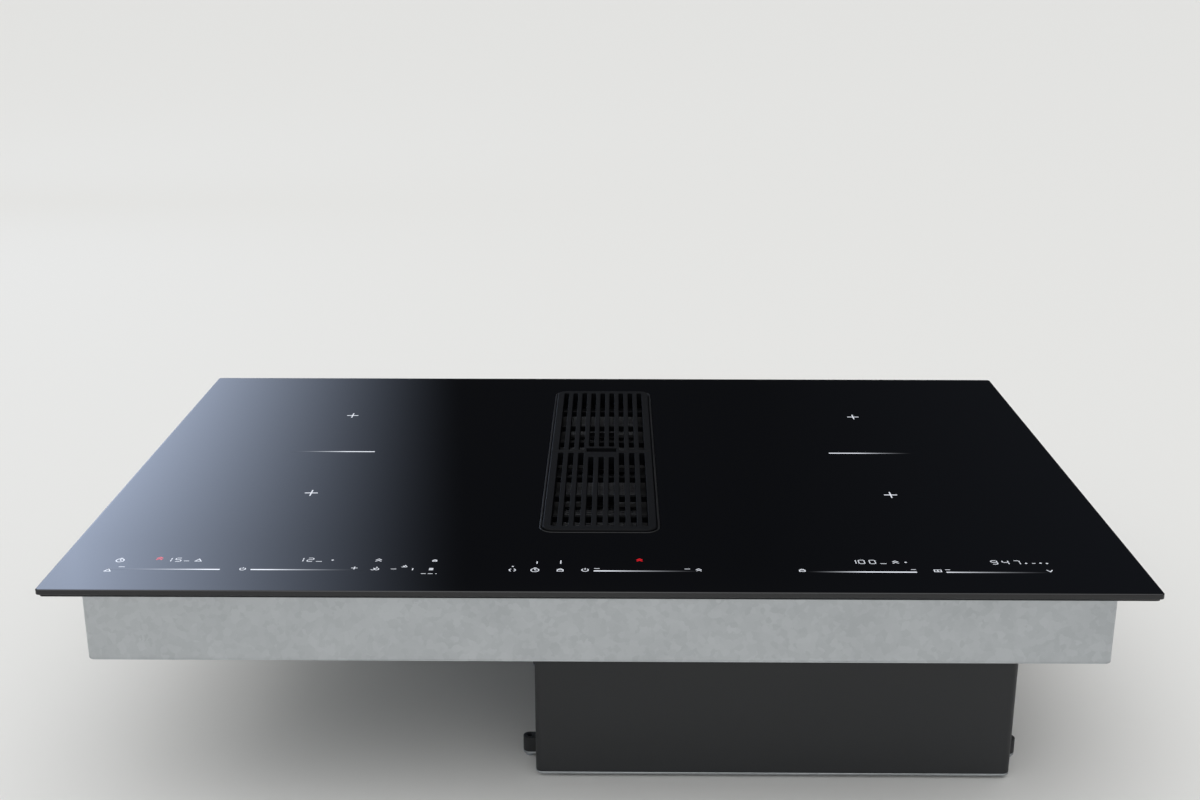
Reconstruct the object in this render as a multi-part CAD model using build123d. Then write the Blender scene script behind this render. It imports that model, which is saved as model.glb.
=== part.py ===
from build123d import *
import math
import os

# Downdraft induction cooktop, drop-in, 800 x 520 mm glass.
# Frame: origin at the middle of the glass plan, on the seat plane under the rim seal.
# +X right, +Y to the back, +Z up, the user stands on the -Y side. Millimetres.

os.makedirs("parts", exist_ok=True)

# ================================================================ driving dimensions
# glass plate and the rim that carries the whole unit
GLASS_W = 800.0
GLASS_D = 520.0
GLASS_T = 4.0
GLASS_CORNER_R = 3.0
GLASS_EDGE = 0.8            # ground chamfer round the top edge
SEAL_T = 2.0                # foam tape under the rim
SEAL_W = 8.0
SEAL_INSET = 2.0

# air intake: two cast grilles end to end in one opening
INTAKE_FRONT = 111.0        # from the front glass edge to the grilles
INTAKE_REAR = 47.0          # from the grilles to the rear glass edge
GRILLE_W = 90.0
GRILLE_T = 12.0
GRILLE_PROUD = 1.5
GRILLE_CORNER_R = 9.0
GRILLE_SEAM = 0.6           # gap between the halves
GRILLE_EDGE = 0.8
SLOT_COUNT = 9
SLOT_PITCH = 9.0
SLOT_W = 4.8
SLOT_END_RIM = 7.5          # solid rim at the outer ends of the slots
SLOT_SEAM_RIM = 3.0         # solid rim at the seam
THUMB_PLATE = 11.0          # longer rim behind the middle slots of the front half
NOTCH_SLOTS = 3             # the finger notch and the thumb plate span this many slots
NOTCH_D = 8.5
NOTCH_RIM = 4.0
RIB_T = 4.0                 # cross ribs that tie the bars low down
RIB_H = 5.0
RIB_COUNT = 3
PAD_T = 1.0                 # silicone pads under the grilles

# inlet frame: the ring that lines the opening in the glass
FRAME_WALL = 1.5
FRAME_GAP = 0.75            # between frame and grille
FRAME_LEDGE_W = 4.0
FRAME_LEDGE_T = 1.5
FRAME_FLANGE_W = 7.0
FRAME_FLANGE_T = 1.5
FRAME_GLUE_GAP = 0.5        # between frame and glass
INLET_SEAL_T = 0.5

# well under the intake, with its filters and its drip tray
WELL_WALL = 2.0
WELL_DEPTH = 160.0
WELL_LUG_R = 4.5
WELL_LUG_IN = 19.75         # first and last lug from the well's ends
FILTER_GAP = 4.5            # from the grilles down to the filters
FILTER_T = 9.0
FILTER_SIDE_GAP = 1.5
FILTER_RIM = 8.0
FILTER_SKIN = 1.0
FILTER_LEDGE_W = 4.5
FILTER_LEDGE_T = 2.5
MESH_T = 3.0
MESH_PITCH = 8.0
MESH_HOLE = 4.8             # side of each diamond opening
PULL_TAB_W = 30.0
PULL_TAB_H = 3.5
TRAY_H = 42.0
TRAY_WALL = 1.6
TRAY_SIDE_GAP = 2.5
TRAY_CORNER_R = 8.0
TRAY_RIM_W = 3.0
WINDOW_H = 50.0
WINDOW_BAY_L = 52.0
WINDOW_POST = 8.0           # wall left between two windows

# sheet casing under the glass
CASE_SIDE_IN = 25.0         # casing wall inside the glass edge, left and right
CASE_END_IN = 18.0          # the same, front and rear
CASE_H = 59.0
CASE_T = 1.0
CASE_FLANGE_W = 8.0
CASE_CORNER_R = 6.0
CASE_SEAL_T = 1.0
WELL_HOLE_GAP = 1.5         # between the well and the hole in the casing's floor
VENT_W = 3.0
VENT_L = 46.0
VENT_PITCH = 7.0
VENT_COUNT = 7
SIDE_VENT_L = 28.0          # the vents beside the blower box are shorter
SIDE_VENT_IN = 21.0         # their middle inside the casing's side wall

# cooking zones, four alike
ZONE_SIDE = 160.0           # from the side glass edge to a zone's middle
COIL_FRONT = 96.0           # from the front glass edge to the front coils
COIL_REAR = 29.0            # from the rear coils to the rear glass edge
ZONE_GAP = 15.0             # between a front and a rear coil
MICA_T = 2.5
COIL_W = 210.0
COIL_T = 3.5
COIL_CORNER_R = 60.0
COIL_EYE_R = 26.0
FORMER_SIDE_IN = 7.0        # former inside the coil's outline, left and right
FORMER_END_IN = 5.0         # the same, front and rear
FORMER_T = 5.0
FORMER_SKIN = 1.0
FERRITE_COUNT = 8
FERRITE_W = 14.0
FERRITE_IN_R = 32.0
FERRITE_END = 12.0          # from a bar's outer end to the former's front or rear edge
SENSOR_R = 9.0
CARRIER_T = 1.0
CARRIER_MARGIN = 6.0
CARRIER_LIP = 6.0
POST_R = 5.0
POST_PIN_R = 2.2
POST_INSET = 9.0
BUFFER_H = 12.0
BUFFER_FIT = 0.2

# power electronics on each side of the well
BOARD_T = 1.6
BOARD_LIFT = 7.0
BOARD_WELL_GAP = 12.75      # from the well's hole in the casing to the board
BOARD_SIDE_GAP = 36.0       # from the board to the casing's side wall
BOARD_FRONT_GAP = 8.0       # from the front posts to the board
BOARD_REAR_GAP = 25.0       # from the board to the rear posts
STANDOFF_R = 4.0
SINK_IN = 5.0               # from the board's inner edge to the heat sink
SINK_W = 58.0
SINK_REAR = 96.0            # board left free behind the heat sink
SINK_H = 30.0
SINK_BASE = 4.0
SINK_FINS = 10
SINK_FIN_T = 1.6
CAP_R = 15.0
CAP_H = 28.0
CAP_COUNT = 4
CAP_PITCH = 36.0
CAP_IN = 112.0              # from the board's inner edge to the capacitors
CHOKE_MID_R = 12.0
CHOKE_TUBE_R = 6.0
CHOKE_FLAT = 0.6            # the winding is pressed flat where it stands
CHOKE_IN = 88.0             # from the board's outer edge to the chokes
CHOKE_PITCH = 90.0

# cooling fans, radial, one each side of the well at the front
FAN_POST_GAP = 2.0          # from a fan to the front post beside it
FAN_FRONT_GAP = 9.0         # from the casing's front wall to a fan
FAN_SIDE = 78.0
FAN_H = 26.0
FAN_SKIN = 1.6
FAN_INLET_R = 25.0
FAN_WHEEL_R = 32.0
FAN_WHEEL_CLEAR = 2.5
FAN_HUB_R = 14.0
FAN_BLADES = 15
FAN_BLADE_T = 1.4
FAN_AXLE_R = 1.5

# touch controls along the front edge
TOUCH_FRONT = 47.0          # from the front glass edge to the board's middle line
TOUCH_LEFT_IN = 5.0         # board inside the casing's left side
TOUCH_RIGHT_IN = 27.0       # board inside the casing's right side
TOUCH_BOARD_D = 38.0
TOUCH_HOLDER_D = 42.0
TOUCH_HOLDER_H = 9.0
LIGHT_T = 4.0
SLIDER_FRONT = 36.0         # from the front glass edge
SLIDER_L = 83.0
SLIDER_W = 5.0
SLIDER_LEFT = (51.0, 155.0)  # middles, from the board's left end
SLIDER_MIDDLE = 37.5        # from the middle of the glass
SLIDER_RIGHT = (156.5, 54.0)  # from the board's right end
DIGIT_FRONT = 53.5          # from the front glass edge
DIGIT_W = 13.0
DIGIT_D = 10.0
DIGIT_LEFT = (15.0, 69.0, 164.0)
DIGIT_MIDDLE = 30.5
DIGIT_RIGHT = (138.0, 36.0)

# mains entry
TERMINAL_IN = 85.0          # from the casing's left side to the terminal box's middle
TERMINAL_W = 66.0
TERMINAL_D = 34.0
TERMINAL_H = 26.0
TERMINAL_WALL = 2.0
TERMINAL_COVER_T = 2.0
GLAND_BORE_R = 6.2
GLAND_BODY_R = 9.0
GLAND_NUT_R = 13.0
GLAND_NUT_T = 7.0
GLAND_OUT = 14.0

# blower under the casing
BOX_H = 145.0
BOX_SIDE_IN = 41.05         # from the casing's right side to the blower box
BOX_WALL = 2.2
BOX_CLEAR = 6.0
BOX_CORNER_R = 6.0
BOX_BOSS_R = 5.5
BOX_BOSS_H = 13.0
BOX_BOSS_OUT = 6.5
BOX_BOSS_IN = 36.0          # from the front or rear wall to the end bosses
COVER_T = 2.0
COVER_DISH = 3.5            # the pressed middle stands lower than the screw heads
COVER_RIM = 16.0
SCROLL_H = 85.0
SCROLL_WALL = 2.0
SCROLL_FOOT = 6.5
SCROLL_GAP = 12.0           # from the well to the scroll
SCROLL_FRONT_GAP = 13.75    # from the box's front wall to the scroll
TONGUE_GAP = 6.0            # from the wheel to the scroll's tongue
TONGUE_DEG = 60.0           # angles count from +X, seen from above
WELL_SIDE_DEG = 180.0
FRONT_DEG = 270.0
FULL_TURN = 360.0
DIFFUSER_RUN = 110.0        # from the wheel's middle to the start of the diffuser
WHEEL_R = 92.0
WHEEL_H = 70.0
WHEEL_EYE_R = 76.0
WHEEL_LIFT = 4.0
WHEEL_BLADES = 40
WHEEL_BLADE_T = 1.0
WHEEL_SKIN = 2.0
INLET_R = 70.0
INLET_LIP = 5.0
MOTOR_R = 49.0
MOTOR_H = 56.0
MOTOR_SKIN = 2.4
SHAFT_R = 4.0
SHAFT_CLEAR = 0.05
BEARING_OR = 9.0
BEARING_T = 7.0
TUBE_WALL = 3.0
STATOR_R = 43.0
STATOR_H = 34.0
BASE_R = 44.0
BASE_T = 4.0
DAMPER_R = 7.0
DAMPER_T = 2.0
DAMPER_RING_R = 32.0

# outlet to the room's flat duct
SPIGOT_W = 218.0
SPIGOT_H = 85.0
SPIGOT_WALL = 2.0
SPIGOT_L = 34.0
SPIGOT_CORNER_R = 5.0
SPIGOT_FLANGE_SIDE = 12.0
SPIGOT_IN = 12.0            # from the box's right wall to the spigot's flange
SPIGOT_FLANGE_T = 3.0
GASKET_T = 1.5
FLAP_T = 1.5
FLAP_GAP = 1.5
PIN_R = 2.0
PIN_CLEAR = 0.05
PIN_DROP = 6.0              # pin centre below the duct's ceiling
FLAP_Y_IN = 14.0            # pin behind the flange face
STOP_H = 4.0

# clamp brackets and the one kind of screw
BRACKET_END = 92.0          # from the casing's front or rear wall to a bracket's middle
BRACKET_L = 40.0
BRACKET_H = 30.0
BRACKET_T = 2.0
BRACKET_TOP = -18.0
BRACKET_EDGE = 1.0          # tongue end inside the glass edge
CLAMP_HOLE_R = 2.7
CLAMP_HOLE_IN = 8.0
SCREW_R = 2.0
SCREW_L = 12.0
SCREW_HEAD_R = 3.8
SCREW_HEAD_T = 2.6
SCREW_FIT = 0.15

# clearances
PART_FIT = 0.2              # a piece dropped into its pocket
SEAT_FIT = 0.02             # a round piece pressed home

# ================================================================ levels and places
glass_under = SEAL_T
glass_face = glass_under + GLASS_T
grille_top = glass_face + GRILLE_PROUD
grille_under = grille_top - GRILLE_T
ledge_top = grille_under - PAD_T
well_top = ledge_top - FRAME_LEDGE_T

grille_l = GLASS_D - INTAKE_FRONT - INTAKE_REAR
intake_y = (INTAKE_FRONT - INTAKE_REAR) / 2

frame_in_w = GRILLE_W + 2 * FRAME_GAP
frame_in_l = grille_l + 2 * FRAME_GAP
frame_in_r = GRILLE_CORNER_R + FRAME_GAP
frame_out_w = frame_in_w + 2 * FRAME_WALL
frame_out_l = frame_in_l + 2 * FRAME_WALL
frame_out_r = frame_in_r + FRAME_WALL
inlet_w = frame_in_w - 2 * FRAME_LEDGE_W
inlet_l = frame_in_l - 2 * FRAME_LEDGE_W
inlet_r = frame_in_r - FRAME_LEDGE_W
frame_flange_top = glass_under - INLET_SEAL_T
frame_flange_under = frame_flange_top - FRAME_FLANGE_T

well_out_w = inlet_w + 2 * WELL_WALL
well_out_l = inlet_l + 2 * WELL_WALL
well_out_r = inlet_r + WELL_WALL
well_under = well_top - WELL_DEPTH
well_floor = well_under + WELL_WALL
filter_top = grille_under - FILTER_GAP
filter_under = filter_top - FILTER_T
tray_top = well_floor + TRAY_H
lug_x = frame_out_w / 2 + WELL_LUG_R - FRAME_GAP

case_w = GLASS_W - 2 * CASE_SIDE_IN
case_d = GLASS_D - 2 * CASE_END_IN
case_top = glass_under - CASE_SEAL_T
case_under = case_top - CASE_H
case_floor = case_under + CASE_T
case_hole_w = well_out_w + 2 * WELL_HOLE_GAP
case_hole_l = well_out_l + 2 * WELL_HOLE_GAP
case_hole_r = well_out_r + WELL_HOLE_GAP

zone_x = GLASS_W / 2 - ZONE_SIDE
coil_d = (GLASS_D - COIL_FRONT - COIL_REAR - ZONE_GAP) / 2
zone_front_y = COIL_FRONT + coil_d / 2 - GLASS_D / 2
zone_rear_y = GLASS_D / 2 - COIL_REAR - coil_d / 2
former_w = COIL_W - 2 * FORMER_SIDE_IN
former_d = coil_d - 2 * FORMER_END_IN
ferrite_l = former_d / 2 - FERRITE_END - FERRITE_IN_R
coil_top = glass_under - MICA_T
former_top = coil_top - COIL_T
carrier_top = former_top - FORMER_T
carrier_under = carrier_top - CARRIER_T
carrier_w = COIL_W + 2 * CARRIER_MARGIN
carrier_d = zone_rear_y - zone_front_y + coil_d + 2 * CARRIER_MARGIN
carrier_y = (zone_rear_y + zone_front_y) / 2
post_in_x = zone_x - carrier_w / 2 + POST_INSET
post_front_y = carrier_y - carrier_d / 2 + POST_INSET
post_rear_y = carrier_y + carrier_d / 2 - POST_INSET

board_under = case_floor + BOARD_LIFT
board_top = board_under + BOARD_T
board_x0 = case_hole_w / 2 + BOARD_WELL_GAP
board_x1 = case_w / 2 - CASE_T - BOARD_SIDE_GAP
board_y0 = post_front_y + POST_R + BOARD_FRONT_GAP
board_y1 = post_rear_y - POST_R - BOARD_REAR_GAP
fan_x = post_in_x - POST_R - FAN_POST_GAP - FAN_SIDE / 2
fan_y = CASE_T + FAN_FRONT_GAP + FAN_SIDE / 2 - case_d / 2
terminal_x = TERMINAL_IN - case_w / 2
bracket_y = case_d / 2 - BRACKET_END

box_top = case_under
box_under = box_top - BOX_H
dish_floor = box_under - COVER_DISH
scroll_floor = dish_floor + SCROLL_FOOT
scroll_top = scroll_floor + SCROLL_H
wheel_under = scroll_floor + SCROLL_WALL + WHEEL_LIFT
wheel_top = wheel_under + WHEEL_H


box_x0 = -(well_out_w / 2 + BOX_CLEAR + BOX_WALL)
box_x1 = case_w / 2 - BOX_SIDE_IN
box_y0 = intake_y - well_out_l / 2 - BOX_CLEAR - BOX_WALL
box_y1 = intake_y + well_out_l / 2 + BOX_CLEAR + BOX_WALL


def turn_share(degrees):
    """How far along its turn the scroll is at an angle: 0 at the tongue, 1 at a full turn."""
    return (degrees - TONGUE_DEG) / (FULL_TURN - TONGUE_DEG)


# the scroll fills the width between the well and the box's right wall:
# its radii towards the well and at a full turn add up to scroll_span
scroll_x0 = well_out_w / 2 + SCROLL_GAP + SCROLL_WALL
scroll_x1 = box_x1 - BOX_WALL - BOX_CLEAR - SCROLL_WALL
scroll_span = scroll_x1 - scroll_x0
well_share = turn_share(WELL_SIDE_DEG)
scroll_r0 = WHEEL_R + TONGUE_GAP
scroll_r1 = (scroll_span - (1 - well_share) * scroll_r0) / (1 + well_share)


def scroll_radius(degrees):
    """The scroll's inner radius grows evenly with the angle from the tongue to a full turn."""
    return scroll_r0 + (scroll_r1 - scroll_r0) * turn_share(degrees)


scroll_x = scroll_x0 + scroll_radius(WELL_SIDE_DEG)
scroll_y = box_y0 + BOX_WALL + SCROLL_FRONT_GAP + SCROLL_WALL + scroll_radius(FRONT_DEG)
spigot_x = box_x1 - SPIGOT_IN - SPIGOT_FLANGE_SIDE - SPIGOT_W / 2
spigot_z = scroll_floor + SCROLL_H / 2
spigot_y0 = box_y1 + GASKET_T
spigot_y1 = spigot_y0 + SPIGOT_L
pin_y = spigot_y0 + FLAP_Y_IN
pin_z = spigot_z + SPIGOT_H / 2 - SPIGOT_WALL - PIN_DROP


# ================================================================ shapes used again and again
def block(x0, x1, y0, y1, z0, z1):
    """A box between two corners."""
    middle = Pos((x0 + x1) / 2, (y0 + y1) / 2, (z0 + z1) / 2)
    return middle * Box(x1 - x0, y1 - y0, z1 - z0)


def plate(width, depth, radius, z0, z1, x=0.0, y=0.0):
    """A flat plate with round corners, standing between two levels."""
    return Pos(x, y, z0) * extrude(RectangleRounded(width, depth, radius), z1 - z0)


def drum(radius, z0, z1, x=0.0, y=0.0):
    """An upright cylinder between two levels."""
    return Pos(x, y, (z0 + z1) / 2) * Cylinder(radius, z1 - z0)


def sleeve(outer_r, inner_r, z0, z1, x=0.0, y=0.0):
    """An upright ring between two levels."""
    return drum(outer_r, z0, z1, x, y) - drum(inner_r, z0, z1, x, y)


def group(solids):
    """Separate solids kept as one node."""
    return Compound(children=[piece for item in solids for piece in item.solids()])


def save(shape, name):
    """Write one node."""
    export_step(shape, f"parts/{name}.step")


def mirrored(shape):
    """The same piece on the other side of the intake."""
    return mirror(shape, about=Plane.YZ)


# ================================================================ glass, seals, inlet frame
def make_glass_top():
    """Glass ceramic plate with the opening for the intake."""
    glass = plate(GLASS_W, GLASS_D, GLASS_CORNER_R, glass_under, glass_face)
    glass = chamfer(glass.faces().sort_by(Axis.Z)[-1].edges(), GLASS_EDGE)
    return glass - plate(
        frame_out_w + 2 * FRAME_GLUE_GAP,
        frame_out_l + 2 * FRAME_GLUE_GAP,
        frame_out_r + FRAME_GLUE_GAP,
        glass_under,
        glass_face,
        y=intake_y,
    )


def make_rim_seal():
    """Foam tape under the glass edge; the unit's weight rests on it."""
    outer_w = GLASS_W - 2 * SEAL_INSET
    outer_d = GLASS_D - 2 * SEAL_INSET
    tape = plate(outer_w, outer_d, GLASS_CORNER_R, 0.0, glass_under)
    return tape - plate(outer_w - 2 * SEAL_W, outer_d - 2 * SEAL_W, GLASS_CORNER_R, 0.0, glass_under)


def make_inlet_frame():
    """Ring in the glass opening: wall, inner ledge for the grilles, outer flange under the glass."""
    ring = plate(frame_out_w, frame_out_l, frame_out_r, well_top, glass_face, y=intake_y)
    ring += plate(
        frame_out_w + 2 * FRAME_FLANGE_W,
        frame_out_l + 2 * FRAME_FLANGE_W,
        frame_out_r + FRAME_FLANGE_W,
        frame_flange_under,
        frame_flange_top,
        y=intake_y,
    )
    ring -= plate(frame_in_w, frame_in_l, frame_in_r, ledge_top, glass_face, y=intake_y)
    ring -= plate(inlet_w, inlet_l, inlet_r, well_top, ledge_top, y=intake_y)
    for x, y in lug_places():
        ring -= drum(SCREW_R + SCREW_FIT, frame_flange_under, frame_flange_top, x, y)
    return ring


def make_inlet_seal():
    """Silicone bead between the frame's flange and the glass."""
    bead = plate(
        frame_out_w + 2 * FRAME_FLANGE_W,
        frame_out_l + 2 * FRAME_FLANGE_W,
        frame_out_r + FRAME_FLANGE_W,
        frame_flange_top,
        glass_under,
        y=intake_y,
    )
    bead -= plate(
        frame_out_w + 2 * FRAME_GLUE_GAP,
        frame_out_l + 2 * FRAME_GLUE_GAP,
        frame_out_r + FRAME_GLUE_GAP,
        frame_flange_top,
        glass_under,
        y=intake_y,
    )
    for x, y in lug_places():
        bead -= drum(SCREW_R + SCREW_FIT, frame_flange_top, glass_under, x, y)
    return bead


def lug_places():
    """Six screw places beside the well, three a side."""
    reach = well_out_l / 2 - WELL_LUG_IN
    return [(side * lug_x, intake_y + step) for side in (-1, 1) for step in (-reach, 0.0, reach)]


# ================================================================ grilles
seam_y = intake_y
front_y0 = intake_y - grille_l / 2
rear_y1 = intake_y + grille_l / 2
notch_w = NOTCH_SLOTS * SLOT_PITCH


def grille_blank(y0, y1):
    """Half of the grille plan: round corners at its outer end, square ones at the seam."""
    long_plate = plate(GRILLE_W, grille_l, GRILLE_CORNER_R, grille_under, grille_top, y=intake_y)
    half = long_plate & block(-GRILLE_W, GRILLE_W, y0, y1, grille_under, grille_top)
    return chamfer(half.faces().sort_by(Axis.Z)[-1].edges(), GRILLE_EDGE)


def slot_cut(x, y0, y1):
    """One slot with round ends, through the plate's full depth."""
    return plate(SLOT_W, y1 - y0, SLOT_W / 2 - 0.01, grille_under, grille_top, x, (y0 + y1) / 2)


def grille_ribs(y0, y1):
    """Low ribs across the slots, clear of the top by the plate's depth less their own height."""
    span = SLOT_PITCH * (SLOT_COUNT - 1) / 2 + SLOT_W
    step = (y1 - y0) / (RIB_COUNT + 1)
    return [
        block(
            -span,
            span,
            y0 + step * number - RIB_T / 2,
            y0 + step * number + RIB_T / 2,
            grille_under,
            grille_under + RIB_H,
        )
        for number in range(1, RIB_COUNT + 1)
    ]


def slot_numbers():
    """Slot positions counted from the middle slot."""
    reach = (SLOT_COUNT - 1) // 2
    return range(-reach, reach + 1)


def make_grille_front():
    """Front half: the middle slots stop short of the seam and leave a thumb plate."""
    y0 = front_y0
    y1 = seam_y - GRILLE_SEAM / 2
    body = grille_blank(y0, y1)
    for number in slot_numbers():
        middle = abs(number) <= NOTCH_SLOTS // 2
        end = y1 - SLOT_SEAM_RIM - (THUMB_PLATE if middle else 0.0)
        body -= slot_cut(number * SLOT_PITCH, y0 + SLOT_END_RIM, end)
    for rib in grille_ribs(y0, y1):
        body += rib
    return body


def make_grille_rear():
    """Rear half: a finger notch is cut from its front edge, behind the seam."""
    y0 = seam_y + GRILLE_SEAM / 2
    y1 = rear_y1
    body = grille_blank(y0, y1)
    for number in slot_numbers():
        middle = abs(number) <= NOTCH_SLOTS // 2
        start = y0 + (NOTCH_D + NOTCH_RIM if middle else SLOT_SEAM_RIM)
        body -= slot_cut(number * SLOT_PITCH, start, y1 - SLOT_END_RIM)
    for rib in grille_ribs(y0, y1):
        body += rib
    return body - block(-notch_w / 2, notch_w / 2, y0, y0 + NOTCH_D, grille_under, grille_top)


def make_grille_pads(y0, y1):
    """Silicone pads between one grille half and the frame's ledge."""
    x = (inlet_w / 2 + GRILLE_W / 2) / 2
    inset = SLOT_END_RIM + GRILLE_CORNER_R
    spots = [(side * x, y) for side in (-1, 1) for y in (y0 + inset, y1 - inset)]
    pad_r = (GRILLE_W - inlet_w) / 4
    return group(drum(pad_r, ledge_top, grille_under, x, y) for x, y in spots)


# ================================================================ well, filters, drip tray
def make_intake_well():
    """Plastic well: open top, filter ledges, a row of windows towards the blower."""
    well = plate(well_out_w, well_out_l, well_out_r, well_under, well_top, y=intake_y)
    well -= plate(inlet_w, inlet_l, inlet_r, well_floor, well_top, y=intake_y)
    for side in (-1, 1):
        inner = side * inlet_w / 2
        edge = side * (inlet_w / 2 - FILTER_LEDGE_W)
        well += block(
            min(inner, edge),
            max(inner, edge),
            intake_y - inlet_l / 2 + inlet_r,
            intake_y + inlet_l / 2 - inlet_r,
            filter_under - FILTER_LEDGE_T,
            filter_under,
        )
    window_top = case_under - BOX_CLEAR
    pitch = WINDOW_BAY_L + WINDOW_POST
    bays = int((inlet_l - 2 * inlet_r + WINDOW_POST) // pitch)
    for bay in range(bays):
        y = intake_y + (bay - (bays - 1) / 2) * pitch
        well -= block(
            inlet_w / 2 - WELL_WALL,
            well_out_w / 2 + WELL_WALL,
            y - WINDOW_BAY_L / 2,
            y + WINDOW_BAY_L / 2,
            window_top - WINDOW_H,
            window_top,
        )
    for x, y in lug_places():
        inner_x = math.copysign(well_out_w / 2 - WELL_WALL / 2, x)
        web = block(
            min(inner_x, x),
            max(inner_x, x),
            y - WELL_LUG_R,
            y + WELL_LUG_R,
            well_top - WELL_LUG_R,
            well_top,
        )
        well += web + drum(WELL_LUG_R, well_top - WELL_LUG_R, well_top, x, y)
        well -= drum(SCREW_R + SCREW_FIT, well_top - WELL_LUG_R, well_top, x, y)
    return well


filter_w = inlet_w - 2 * FILTER_SIDE_GAP
filter_l = (inlet_l - 3 * FILTER_SIDE_GAP) / 2
filter_front_y = intake_y - (filter_l + FILTER_SIDE_GAP) / 2
filter_rear_y = intake_y + (filter_l + FILTER_SIDE_GAP) / 2


def make_filter_frame(y):
    """Folded aluminium frame of one grease filter, with a pull tab on its middle bar."""
    corner = inlet_r - FILTER_SIDE_GAP
    window_w = filter_w - 2 * FILTER_RIM
    window_l = filter_l - 2 * FILTER_RIM
    frame = plate(filter_w, filter_l, corner, filter_under, filter_top, y=y)
    frame -= plate(
        filter_w - 2 * FILTER_SKIN,
        filter_l - 2 * FILTER_SKIN,
        corner - FILTER_SKIN,
        filter_under + FILTER_SKIN,
        filter_top - FILTER_SKIN,
        y=y,
    )
    frame -= plate(window_w, window_l, corner, filter_under, filter_top, y=y)
    bar_top = filter_top
    frame += block(
        -window_w / 2 - FILTER_SKIN,
        window_w / 2 + FILTER_SKIN,
        y - FILTER_RIM / 2,
        y + FILTER_RIM / 2,
        bar_top - FILTER_SKIN,
        bar_top,
    )
    frame += block(
        -PULL_TAB_W / 2,
        PULL_TAB_W / 2,
        y - FILTER_SKIN / 2,
        y + FILTER_SKIN / 2,
        bar_top,
        bar_top + PULL_TAB_H,
    )
    return frame


def make_filter_mesh(y):
    """Expanded mesh held in the frame: diamond openings on a square pitch."""
    margin = FILTER_SKIN + PART_FIT
    sheet_w = filter_w - 2 * margin
    sheet_l = filter_l - 2 * margin
    columns = int((filter_w - 2 * FILTER_RIM) // MESH_PITCH)
    rows = int((filter_l - 2 * FILTER_RIM) // MESH_PITCH)
    diamond = Rot(Z=45) * Rectangle(MESH_HOLE, MESH_HOLE)
    holes = GridLocations(MESH_PITCH, MESH_PITCH, columns, rows) * diamond
    sheet = RectangleRounded(sheet_w, sheet_l, inlet_r - FILTER_SIDE_GAP - margin) - holes
    middle = (filter_top + filter_under) / 2
    return Pos(0, y, middle - MESH_T / 2) * extrude(sheet, MESH_T)


tray_w = inlet_w - 2 * FILTER_LEDGE_W - 2 * TRAY_SIDE_GAP
tray_l = inlet_l - 2 * TRAY_SIDE_GAP


def make_drip_tray():
    """Lift-out liquid tray on the well's floor, with a grip bar across its mouth."""
    body_w = tray_w - 2 * TRAY_RIM_W
    body_l = tray_l - 2 * TRAY_RIM_W
    tray = plate(body_w, body_l, TRAY_CORNER_R, well_floor, tray_top, y=intake_y)
    tray += plate(
        tray_w,
        tray_l,
        TRAY_CORNER_R + TRAY_RIM_W,
        tray_top - TRAY_WALL,
        tray_top,
        y=intake_y,
    )
    tray -= plate(
        body_w - 2 * TRAY_WALL,
        body_l - 2 * TRAY_WALL,
        TRAY_CORNER_R - TRAY_WALL,
        well_floor + TRAY_WALL,
        tray_top,
        y=intake_y,
    )
    grip = block(
        -body_w / 2,
        body_w / 2,
        intake_y - TRAY_CORNER_R / 2,
        intake_y + TRAY_CORNER_R / 2,
        tray_top - 2 * TRAY_WALL,
        tray_top,
    )
    return tray + grip


# ================================================================ sheet casing
def vent_row(x, y, length, along_x):
    """A row of parallel vent slots centred on a place in the floor."""
    slot = plate(VENT_W, length, VENT_W / 2 - 0.01, case_under, case_floor)
    offsets = [(number - (VENT_COUNT - 1) / 2) * VENT_PITCH for number in range(VENT_COUNT)]
    if along_x:
        return [Pos(x + offset, y, 0) * slot for offset in offsets]
    return [Pos(x, y + offset, 0) * Rot(Z=90) * slot for offset in offsets]


def make_casing_floor():
    """Floor sheet of the casing: hole for the well, air vents, screw holes for the blower box."""
    floor = plate(case_w, case_d, CASE_CORNER_R, case_under, case_floor)
    floor -= plate(case_hole_w, case_hole_l, case_hole_r, case_under, case_floor, y=intake_y)
    for side in (-1, 1):
        for cut in vent_row(side * fan_x, fan_y, VENT_L, True):
            floor -= cut
        for y in (zone_front_y, zone_rear_y):
            for cut in vent_row(side * (case_w / 2 - SIDE_VENT_IN), y, SIDE_VENT_L, False):
                floor -= cut
    for x, y in box_boss_places():
        floor -= drum(SCREW_R + SCREW_FIT, case_under, case_floor, x, y)
    return floor


def make_casing_walls():
    """Folded walls welded to the floor sheet; their top flange is glued under the glass."""
    walls = plate(case_w, case_d, CASE_CORNER_R, case_floor, case_top)
    walls -= plate(
        case_w - 2 * CASE_T,
        case_d - 2 * CASE_T,
        CASE_CORNER_R - CASE_T,
        case_floor,
        case_top - CASE_T,
    )
    walls -= plate(
        case_w - 2 * CASE_FLANGE_W,
        case_d - 2 * CASE_FLANGE_W,
        CASE_CORNER_R,
        case_top - CASE_T,
        case_top,
    )
    low = case_floor + 2 * VENT_PITCH
    for side in (-1, 1):
        for number in range(VENT_COUNT):
            x = side * (fan_x + (number - (VENT_COUNT - 1) / 2) * 2 * VENT_PITCH)
            walls -= block(
                x - VENT_W / 2,
                x + VENT_W / 2,
                case_d / 2 - 2 * CASE_T,
                case_d / 2 + CASE_T,
                low,
                low + VENT_L / 2,
            )
    for x, y, z, direction in bracket_screws():
        walls -= Pos(x, y, z) * Rot(Y=90) * Cylinder(SCREW_R + SCREW_FIT, 4 * CASE_T)
    return walls - Pos(terminal_x, case_d / 2, gland_z()) * Rot(X=90) * Cylinder(
        GLAND_BODY_R + PART_FIT, 4 * CASE_T
    )


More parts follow.
